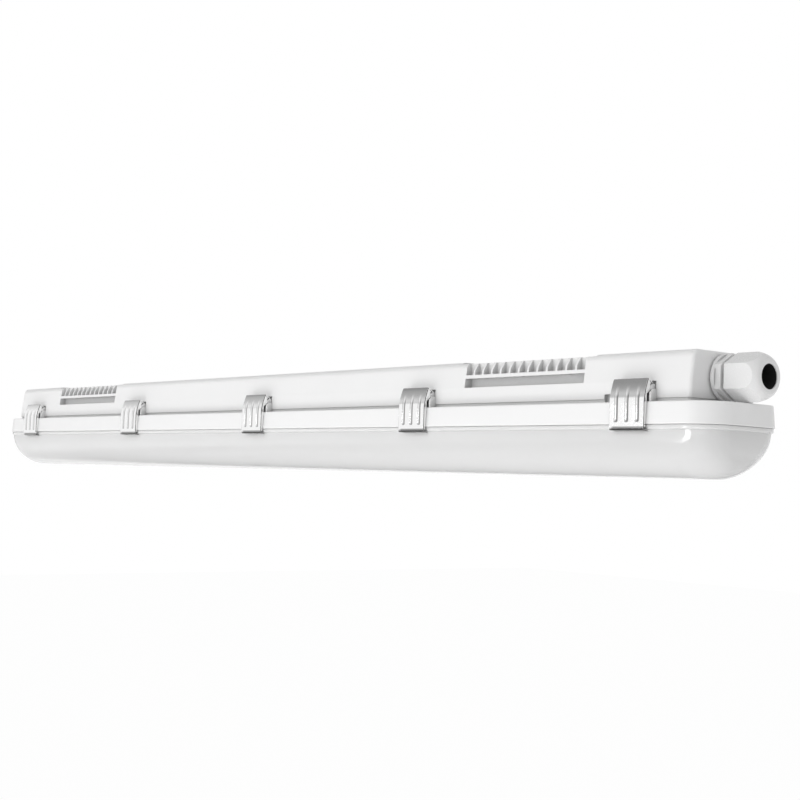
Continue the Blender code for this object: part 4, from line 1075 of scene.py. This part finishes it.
@dataclass
class Latches:
    """The ten pressed latches: rolled knuckle, ridge, swept plate, grooves, flanges and hook."""

    sizes: FixtureSizes
    standoff: float = 0.0026
    hook_length: float = 0.005
    bend_radius: float = 0.0018
    hook_drop: float = 0.0005
    hook_turn: float = 80.0
    hook_steps: int = 6
    groove_width: float = 0.0034
    groove_depth: float = 0.00055
    groove_pitch: float = 0.0104
    groove_ramp: float = 0.15
    groove_top: float = 0.16
    groove_bottom: float = 0.83
    top_fade: float = 0.007
    bottom_fade: float = 0.0012
    # How far above the hook's bend its band of painted shade reaches, and that band's share of
    # grey.
    bend_reach: float = 0.0009
    bend_shade_share: float = 0.8
    wrap: float = 290.0
    knuckle_end: float = 95.0
    knuckle_steps: int = 26
    plate_steps: int = 14
    flange_from: float = 0.55
    flange_setback: float = 0.001
    flange_turn: Point = (-45.0, 60.0)
    flange_steps: int = 8
    # The swept plate's bends, as shares of its way out and of its way down from the ridge.
    bends: tuple[Point, ...] = (
        (0.447, 0.0), (0.59, 0.04), (0.81, 0.40), (0.934, 0.70), (1.0, 0.96),
    )
    # Across a groove: its edge, the steps from it in ramp widths, the depth and the share of
    # painted shade.
    press: tuple[tuple[int, int, float, float], ...] = (
        (-1, -1, 0.0, 0.0), (-1, 0, 0.35, 0.45), (-1, 1, 1.0, 0.0),
        (1, -1, 1.0, 1.0), (1, 0, 0.35, 1.0), (1, 1, 0.0, 0.0),
    )

    @property
    def plate_out(self) -> float:
        """How far the plate's middle lies outside the hinge line."""
        sizes = self.sizes
        return sizes.half_width + self.standoff + sizes.latch_sheet / 2 - sizes.hinge_out

    @property
    def hook_level(self) -> float:
        """Height of the hook's sheet from the hinge line."""
        sizes = self.sizes
        return sizes.hinge_depth - sizes.lip_bottom - sizes.running_gap - sizes.latch_sheet / 2

    def path(self) -> list[Point]:
        """The middle line of the sheet, from the knuckle's inner end to the hook's tip.

        Returns:
            The points as (outward, up) from the hinge line.
        """
        sizes = self.sizes
        ridge = sizes.ridge_rise
        fall = sizes.hinge_depth - sizes.band_top - ridge
        points = arc(
            (0.0, 0.0), sizes.knuckle_radius, self.knuckle_end + self.wrap, self.knuckle_end,
            self.knuckle_steps,
        )
        turns = points[-2:]
        turns += [(self.plate_out * out, ridge + fall * down) for out, down in self.bends]
        hook_top = self.hook_level + self.bend_radius
        turns.append((self.plate_out, (turns[-1][1] + hook_top) / 2))
        points = points[:-1] + self.eased(turns)
        top = points[-1][1]
        for step in range(1, self.plate_steps):
            points.append((self.plate_out, top + (hook_top - top) * step / self.plate_steps))
        centre = (self.plate_out - self.bend_radius, hook_top)
        points += arc(centre, self.bend_radius, 0.0, -self.hook_turn, self.hook_steps)
        points.append((self.plate_out - self.hook_length, self.hook_level - self.hook_drop))
        return points

    @staticmethod
    def eased(turns: Sequence[Point], steps: int = 5) -> list[Point]:
        """A smooth line through points, leaving out the run before the second one.

        Args:
            turns: The points, the first of which only gives a direction.
            steps: How many steps each run takes.

        Returns:
            The points of the line.
        """
        made: list[Point] = []
        last = len(turns) - 1
        for index in range(1, last):
            around = [turns[min(index + shift, last)] for shift in (-1, 0, 1, 2)]
            for step in range(steps):
                t = step / steps
                made.append(tuple(
                    0.5 * (2 * q + (r - p) * t + (2 * p - 5 * q + 4 * r - s) * t * t
                           + (3 * q - p - 3 * r + s) * t ** 3)
                    for p, q, r, s in zip(*around)
                ))
        made.append(turns[last])
        return made

    def stations(self) -> list[Place]:
        """Where the sheet is divided across its width, how deep it is pressed there and how much
        painted shade it gets.

        Returns:
            Place along X, share of the grooves' depth and share of painted shade.
        """
        half = self.sizes.latch_width / 2
        ramp = self.groove_ramp * self.groove_width
        places = [(-half, 0.0, 0.0)]
        for index in (-1, 0, 1):
            for edge, step, depth, shade_share in self.press:
                offset = edge * self.groove_width / 2 + step * ramp
                places.append((index * self.groove_pitch + offset, depth, shade_share))
        return places + [(half, 0.0, 0.0)]

    def sheet(self) -> Mesh:
        """The bent sheet with its three pressed grooves.

        Returns:
            The sheet as a closed mesh about the hinge line of a front latch.
        """
        path = self.path()
        ridge = self.sizes.ridge_rise
        drop = ridge - self.hook_level + self.hook_drop
        top = ridge - self.groove_top * drop
        bottom = ridge - self.groove_bottom * drop
        bend_top = self.hook_level + self.bend_radius + self.bend_reach
        (first, _, _), *stations = self.stations()
        bm = bmesh.new()
        # Painted shade: each vertex carries a share of grey for the grooves' edges and the hook's
        # bend.
        layer = bm.verts.layers.float.new(PAINTED_SHADE_LAYER)
        row = [bm.verts.new((first, -out, up)) for out, up in path]
        edges = [bm.edges.new(pair) for pair in zip(row, row[1:])]
        for x, depth, shade_share in stations:
            edges, row = extruded(bm, edges, row)
            for vert, (out, up) in zip(row, path):
                fade = min((top - up) / self.top_fade, (up - bottom) / self.bottom_fade, 1.0)
                fade = max(fade, 0.0) if out > self.plate_out / 2 else 0.0
                vert.co = (x, -(out - depth * fade * self.groove_depth), up)
                vert[layer] = self.bend_shade_share if up < bend_top else shade_share * fade
        bm.normal_update()
        bmesh.ops.recalc_face_normals(bm, faces=bm.faces)
        bmesh.ops.solidify(bm, geom=bm.faces[:], thickness=self.sizes.latch_sheet)
        outward(bm)
        return to_mesh(bm)

    def flanges(self) -> list[Mesh]:
        """The two folded side flanges.

        Returns:
            The flanges' meshes.
        """
        sizes = self.sizes
        knuckle = sizes.knuckle_radius
        face = sizes.half_width + sizes.running_gap - sizes.hinge_out
        head = face - self.flange_setback
        shelf = sizes.hinge_depth - sizes.band_top
        half_sheet = sizes.latch_sheet / 2
        bend = self.hook_level + self.bend_radius
        outline = [
            (out - half_sheet / 2, up) for out, up in self.path()[self.knuckle_steps + 1:]
            if out > self.flange_from * self.plate_out and up > bend
        ]
        outline += [
            (face, bend + half_sheet), (head, shelf - sizes.running_gap),
            (head, -knuckle - self.standoff / 2), (knuckle, -knuckle),
        ]
        outline += arc((0.0, 0.0), knuckle, *self.flange_turn, self.flange_steps)
        half = sizes.latch_width / 2
        return [
            prism(mirrored(outline[::-1], -1), start, sizes.latch_sheet)
            for start in (-half, half - sizes.latch_sheet)
        ]

    def build(self) -> None:
        """Make all ten latches from one pattern."""
        pattern = to_mesh(opened(self.sheet(), *self.flanges()))
        for side, label in ((-1, "front"), (1, "rear")):
            turn = Matrix.Rotation(math.pi if side > 0 else 0.0, 4, "Z")
            for number, x in enumerate(self.sizes.latch_places, start=1):
                mesh = pattern.copy()
                hinge = (x, side * self.sizes.hinge_out, -self.sizes.hinge_depth)
                mesh.transform(Matrix.Translation(hinge) @ turn)
                node = f"latch_{label}_{number}"
                name = f"pressed_{node}"
                show_piece(name, mesh, ROLLED_STAINLESS, node, node, sharp=38.0)
        bpy.data.meshes.remove(pattern)


@dataclass
class CableGland:
    """The nylon gland: flanged hexagon collar with its spigot, and the nut with an open mouth."""

    sizes: FixtureSizes
    bore_radius: float = 0.0096
    mouth_radius: float = 0.0094
    collar: float = 0.008
    ease: float = 0.0016
    flange_radius: float = 0.0178
    flange: float = 0.003
    flange_edge: float = 0.0004
    washer: float = 0.001
    thread_shown: float = 0.0028
    thread_pitch: float = 0.0015
    thread_depth: float = 0.00045
    grip: float = 0.012
    nut: float = 0.0286
    dome: float = 0.018
    dome_steps: int = 20
    swell: float = 0.0008
    rim: float = 0.002
    seal_setback: float = 0.0012
    locknut: float = 0.0055
    sides: int = 72

    @property
    def collar_start(self) -> float:
        """Where the collar starts along X."""
        return self.sizes.half_housing + 2 * self.sizes.gap + self.washer

    @property
    def nut_start(self) -> float:
        """Where the nut starts along X."""
        return self.collar_start + self.collar + self.thread_shown

    def hexagon(self, start: float, length: float) -> Mesh:
        """A hexagon rod with a corner at its top."""
        ring = arc((0.0, -self.sizes.gland_depth), self.sizes.gland_radius, 90.0, 390.0, 5)
        return prism(ring, start, length)

    def spun(self, profile: Ring) -> Mesh:
        """Turn a profile about the gland's own line."""
        return turned(profile, self.sizes.gland_depth, self.sides)

    def build_body(self) -> None:
        """Make the collar with its threaded spigot."""
        sizes = self.sizes
        gap, ease, outer, thread = sizes.gap, self.ease, sizes.gland_radius, sizes.thread_radius
        start = self.collar_start + self.flange / 2
        end = self.collar_start + self.collar
        envelope = self.spun([
            (start - gap, 0.0), (start - gap, outer - ease), (start + ease, outer + gap),
            (end - ease, outer + gap), (end + gap, outer - ease), (end + gap, 0.0),
        ])
        collar = worked(self.hexagon(start, end - start), Cut.KEEP.by(envelope))
        edge = self.flange_edge
        disc_start = self.collar_start
        disc_end = disc_start + self.flange
        disc = self.spun([
            (disc_start, 0.0), (disc_start, self.flange_radius),
            (disc_end - edge, self.flange_radius), (disc_end, self.flange_radius - edge),
            (disc_end, 0.0),
        ])
        shank_start = sizes.half_housing - sizes.wall - gap - self.locknut - self.washer
        spigot_end = self.nut_start + self.grip
        root = thread - self.thread_depth
        profile = [(shank_start, self.bore_radius), (shank_start, thread)]
        x = end + self.thread_pitch / 2
        while x + self.thread_pitch < spigot_end:
            profile += [(x, thread), (x + self.thread_pitch / 2, root)]
            x += self.thread_pitch
        profile += [(spigot_end, root), (spigot_end, self.bore_radius)]
        bore_start = (disc_start - ease, 0.0, -sizes.gland_depth)
        bore = rods([(bore_start, self.collar + 2 * ease, self.bore_radius + WELD)], self.sides)
        steps = Cut.JOIN.by(disc) + Cut.AWAY.by(bore) + Cut.JOIN.by(self.spun(profile))
        mesh = worked(collar, steps)
        show_piece("gland_collar", mesh, GLAND_NYLON, "fixture", "gland_body")

    def build_nut(self) -> None:
        """Make the domed nut."""
        sizes = self.sizes
        start = self.nut_start
        mouth = start + self.nut
        ease = self.ease / 2
        low = start - sizes.gap
        rim_radius = self.mouth_radius + self.rim
        base = sizes.gland_radius + self.swell
        profile = [(low, 0.0), (low, sizes.gland_radius - ease), (start + ease, base)]
        for step in range(self.dome_steps + 1):
            angle = math.radians(90 * step / self.dome_steps)
            x = mouth - self.dome * (1 - math.sin(angle))
            profile.append((x, rim_radius + (base - rim_radius) * math.cos(angle)))
        envelope = self.spun([*profile, (mouth, 0.0)])
        seat = mouth - self.seal_setback + sizes.gap
        thread = sizes.thread_radius + sizes.gap
        bore = self.spun([
            (start - 2 * ease, 0.0), (start - 2 * ease, thread), (seat, thread),
            (seat, self.mouth_radius), (mouth + ease, self.mouth_radius), (mouth + ease, 0.0),
        ])
        hexagon = self.hexagon(start, mouth - start)
        mesh = worked(hexagon, Cut.KEEP.by(envelope) + Cut.AWAY.by(bore))
        show_piece(
            "gland_dome_nut", mesh, GLAND_NYLON, "gland_nut", "gland_nut",
            sharp=12.0,
        )


class InnerParts:
    """The pieces whose CAD form is right and which only need their finish."""

    FINISHES: Mapping[str, Finish] = {
        "gasket": GASKET_FOAM,
        "gear_tray": POWDER_COAT,
        "light_board": SOLDER_MASK,
        "driver_screw": ZINC_PLATE,
        "tray_screw": ZINC_PLATE,
        "driver": ABS_CASE,
        "terminal_block": ABS_CASE,
        "supply_lead": VINYL_SHEATH,
        "board_lead": VINYL_SHEATH,
        "gland_washer": SEAL_RUBBER,
        "gland_seal": SEAL_RUBBER,
        "gland_locknut": GLAND_NYLON,
    }

    def build(self) -> None:
        """Give each piece its finish."""
        for name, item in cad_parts.items():
            finish = next((self.FINISHES[k] for k in self.FINISHES if name.startswith(k)), None)
            if finish is None:
                continue
            for slot in item.material_slots:
                slot.material = finish.build()
            LOG.info("%s: %s", name, finish.name)


# The studio


@dataclass(frozen=True)
class Lamp:
    """A plain rectangular lamp. Only the soft box is seen by gloss, and it gives no other light."""

    name: str
    place: Place
    aim: Place
    size: Point
    power: float
    roll: float = 0.0
    gloss: bool = False


@dataclass(frozen=True)
class Card:
    """A grey glowing card that only gloss sees, painting dark reflections as a studio's flags draw
    a metal's edges.
    """

    name: str
    place: Place
    faces: Place
    size: Point
    shade: str
    fade: float


@dataclass
class Studio:
    """Pale floor, soft white surroundings, lamps, grey cards that paint dark reflections, and the
    photograph's camera.
    """

    eye: Place = (1.2340, -0.8797, -0.1058)
    yaw: float = 0.8782
    pitch: float = 0.0567
    roll: float = 0.034
    focal_pixels: float = 1475.5
    sensor: float = 36.0
    near_clip: float = 0.01
    floor_depth: float = 3.2
    floor_size: float = 80.0
    floor_colour: str = "#F4F4F4"
    floor_roughness: float = 0.9
    floor_glow: float = 0.97
    key_side: Place = (0.0, -0.89, 0.45)
    soft_level: float = 0.58
    soft_swing: float = 0.16
    lamps: tuple[Lamp, ...] = (
        Lamp("key", (0.0, -2.0, 0.9), (0.0, 0.0, -0.05), (1.4, 1.0), 8.5),
        Lamp("fill", (0.25, -1.0, -0.80), (0.2, 0.0, -0.05), (2.6, 0.7), 6.8),
        Lamp("bounce", (0.45, -0.15, -1.1), (0.35, 0.0, -0.09), (2.6, 0.9), 7.0),
        Lamp("rear", (-0.4, 2.0, 0.5), (0.0, 0.0, -0.05), (1.6, 1.2), 13.0),
        Lamp("soft_box", (-0.13, -1.3, -0.4), (-0.13, 0.0, -0.4), (0.74, 0.64), 9.4, -18.0, True),
    )
    cards: tuple[Card, ...] = (
        Card("card_above", (-2.6, -1.3, 2.6), (0.0, 0.0, -1.0), (16.0, 16.0), "#949494", 6.5),
        Card("card_below", (0.0, -0.3, -0.55), (0.0, 0.0, 1.0), (3.4, 3.6), "#6C6C6C", 0.4),
        Card("card_at_far_end", (-3.2, 0.1, 0.0), (1.0, 0.0, 0.0), (1.3, 1.0), "#484848", 0.2),
    )

    def build_camera(self) -> None:
        """Stand the camera where the photograph was taken from."""
        level = math.cos(self.pitch)
        ahead = Vector((
            -math.sin(self.yaw) * level, math.cos(self.yaw) * level, math.sin(self.pitch)
        ))
        right = Vector((math.cos(self.yaw), math.sin(self.yaw), 0.0))
        above = right.cross(ahead)
        upright, lean = math.cos(self.roll), math.sin(self.roll)
        turn = Matrix((
            upright * right + lean * above, -lean * right + upright * above, -ahead
        )).transposed()
        data = bpy.data.cameras.new("view")
        data.sensor_width = self.sensor
        data.lens = self.focal_pixels / IMAGE_SIZE * self.sensor
        data.clip_start = self.near_clip
        camera = put("view", data)
        camera.matrix_world = Matrix.Translation(self.eye) @ turn.to_4x4()
        bpy.context.scene.camera = camera

    def build_world(self) -> None:
        """Surround the object with soft light from the front, and show plain white behind it."""
        world = bpy.data.worlds.new("soft_white")
        bpy.context.scene.world = world
        world.use_nodes = True
        tree = world.node_tree
        tree.nodes.clear()
        way = add_node(tree, "TexCoord").outputs["Generated"]
        toward = add_node(
            tree, "VectorMath", {"operation": "DOT_PRODUCT"},
            {1: Vector(self.key_side).normalized()}, {0: way},
        )
        soft = add_node(
            tree, "Math", {"operation": "MULTIPLY_ADD"}, {1: self.soft_swing, 2: self.soft_level},
            {0: toward.outputs["Value"]},
        )
        level = add_node(
            tree, "Mix", {"data_type": "FLOAT"}, {3: 1.0},
            {"Factor": self.background_rays(tree), 2: soft.outputs[0]},
        )
        glow = add_node(
            tree, "Background", values={"Color": WHITE}, links={"Strength": level.outputs[0]}
        )
        add_node(tree, "OutputWorld", links={"Surface": glow.outputs[0]})

    @staticmethod
    def background_rays(tree: Tree) -> Any:
        """Pick the rays that show the background: seen, mirrored or through glass.

        Args:
            tree: The node tree.

        Returns:
            A socket that is 1 for those rays.
        """
        path = add_node(tree, "LightPath").outputs
        seen = path["Is Camera Ray"]
        for kind in ("Is Transmission Ray", "Is Glossy Ray"):
            seen = add_node(
                tree, "Math", {"operation": "MAXIMUM"}, links={0: seen, 1: path[kind]}
            ).outputs[0]
        return seen

    def build_lamps(self) -> None:
        """Hang the key lamp, the fill, the floor's bounce, the rear lamp and the soft box."""
        for lamp in self.lamps:
            data = bpy.data.lights.new(lamp.name, "AREA")
            data.shape = "RECTANGLE"
            data.size, data.size_y = lamp.size
            data.energy = lamp.power
            item = put(lamp.name, data)
            item.location = lamp.place
            turn = (Vector(lamp.aim) - Vector(lamp.place)).to_track_quat("-Z", "Y").to_matrix()
            roll = Matrix.Rotation(math.radians(lamp.roll), 3, "Z")
            item.rotation_euler = (turn @ roll).to_euler()
            item.visible_glossy = lamp.gloss
            item.visible_diffuse = not lamp.gloss

    @staticmethod
    def staged_sheet(name: str, place: Matrix, size: Point) -> tuple[bpy.types.Object, Tree]:
        """Stage a flat sheet with a plain material of its own.

        Args:
            name: Its name.
            place: Where it lies and how it is turned.
            size: Its length and width.

        Returns:
            The sheet and its material's nodes.
        """
        bm = bmesh.new()
        matrix = place @ Matrix.Diagonal((*size, 1.0, 1.0))
        bmesh.ops.create_grid(bm, x_segments=1, y_segments=1, size=0.5, matrix=matrix)
        sheet = put(name, to_mesh(bm))
        material = bpy.data.materials.new(name)
        material.use_nodes = True
        sheet.data.materials.append(material)
        return sheet, material.node_tree

    def build_cards(self) -> None:
        """Stand the cards round the object, outside every picture, to paint dark reflections in its
        gloss alone.
        """
        for card in self.cards:
            turn = Vector(card.faces).to_track_quat("Z", "Y").to_matrix().to_4x4()
            stand = Matrix.Translation(card.place) @ turn
            item, tree = self.staged_sheet(card.name, stand, card.size)
            place = add_node(tree, "TexCoord").outputs["Object"]
            far = add_node(
                tree, "VectorMath", {"operation": "DISTANCE"}, {1: card.place}, {0: place}
            )
            rim = min(card.size) / 2
            pale = add_node(
                tree, "MapRange", values={"From Min": rim - card.fade, "From Max": rim},
                links={"Value": far.outputs["Value"]},
            )
            shade = add_node(
                tree, "Mix", {"data_type": "RGBA"}, {MIX_A: linear(card.shade), MIX_B: WHITE},
                {"Factor": pale.outputs["Result"]},
            )
            # Painted reflection: the card glows grey, fading to white at its rim, and only gloss
            # sees it.
            glow = add_node(tree, "Emission", links={"Color": shade.outputs[MIXED]})
            tree.links.new(glow.outputs[0], tree.nodes["Material Output"].inputs["Surface"])
            item.visible_camera = False
            item.visible_diffuse = False
            item.visible_transmission = False
            item.visible_shadow = False

    def build_floor(self) -> None:
        """Lay the pale floor, which shows nearly plain white and keeps a soft shadow."""
        place = Matrix.Translation((0.0, 0.0, -self.floor_depth))
        _, tree = self.staged_sheet("floor", place, (self.floor_size, self.floor_size))
        shader = tree.nodes["Principled BSDF"]
        shader.inputs["Base Color"].default_value = linear(self.floor_colour)
        shader.inputs["Roughness"].default_value = self.floor_roughness
        part = add_node(
            tree, "Math", {"operation": "MULTIPLY"}, {1: self.floor_glow},
            {0: self.background_rays(tree)},
        )
        glow = add_node(tree, "Emission", values={"Color": WHITE})
        mix = add_node(
            tree, "MixShader", links={0: part.outputs[0], 1: shader.outputs[0], 2: glow.outputs[0]}
        )
        tree.links.new(mix.outputs[0], tree.nodes["Material Output"].inputs["Surface"])

    def build(self) -> None:
        """Set up the whole studio."""
        bpy.context.scene.view_settings.view_transform = "Standard"
        self.build_camera()
        self.build_world()
        self.build_lamps()
        self.build_cards()
        self.build_floor()


def main() -> None:
    """Build the studio and every piece."""
    logging.basicConfig(level=logging.INFO, format="%(message)s")
    sizes = FixtureSizes()
    Studio().build()
    Housing(sizes).build()
    Diffuser(sizes).build()
    Latches(sizes).build()
    gland = CableGland(sizes)
    gland.build_body()
    gland.build_nut()
    InnerParts().build()


if __name__ == "__main__":
    main()
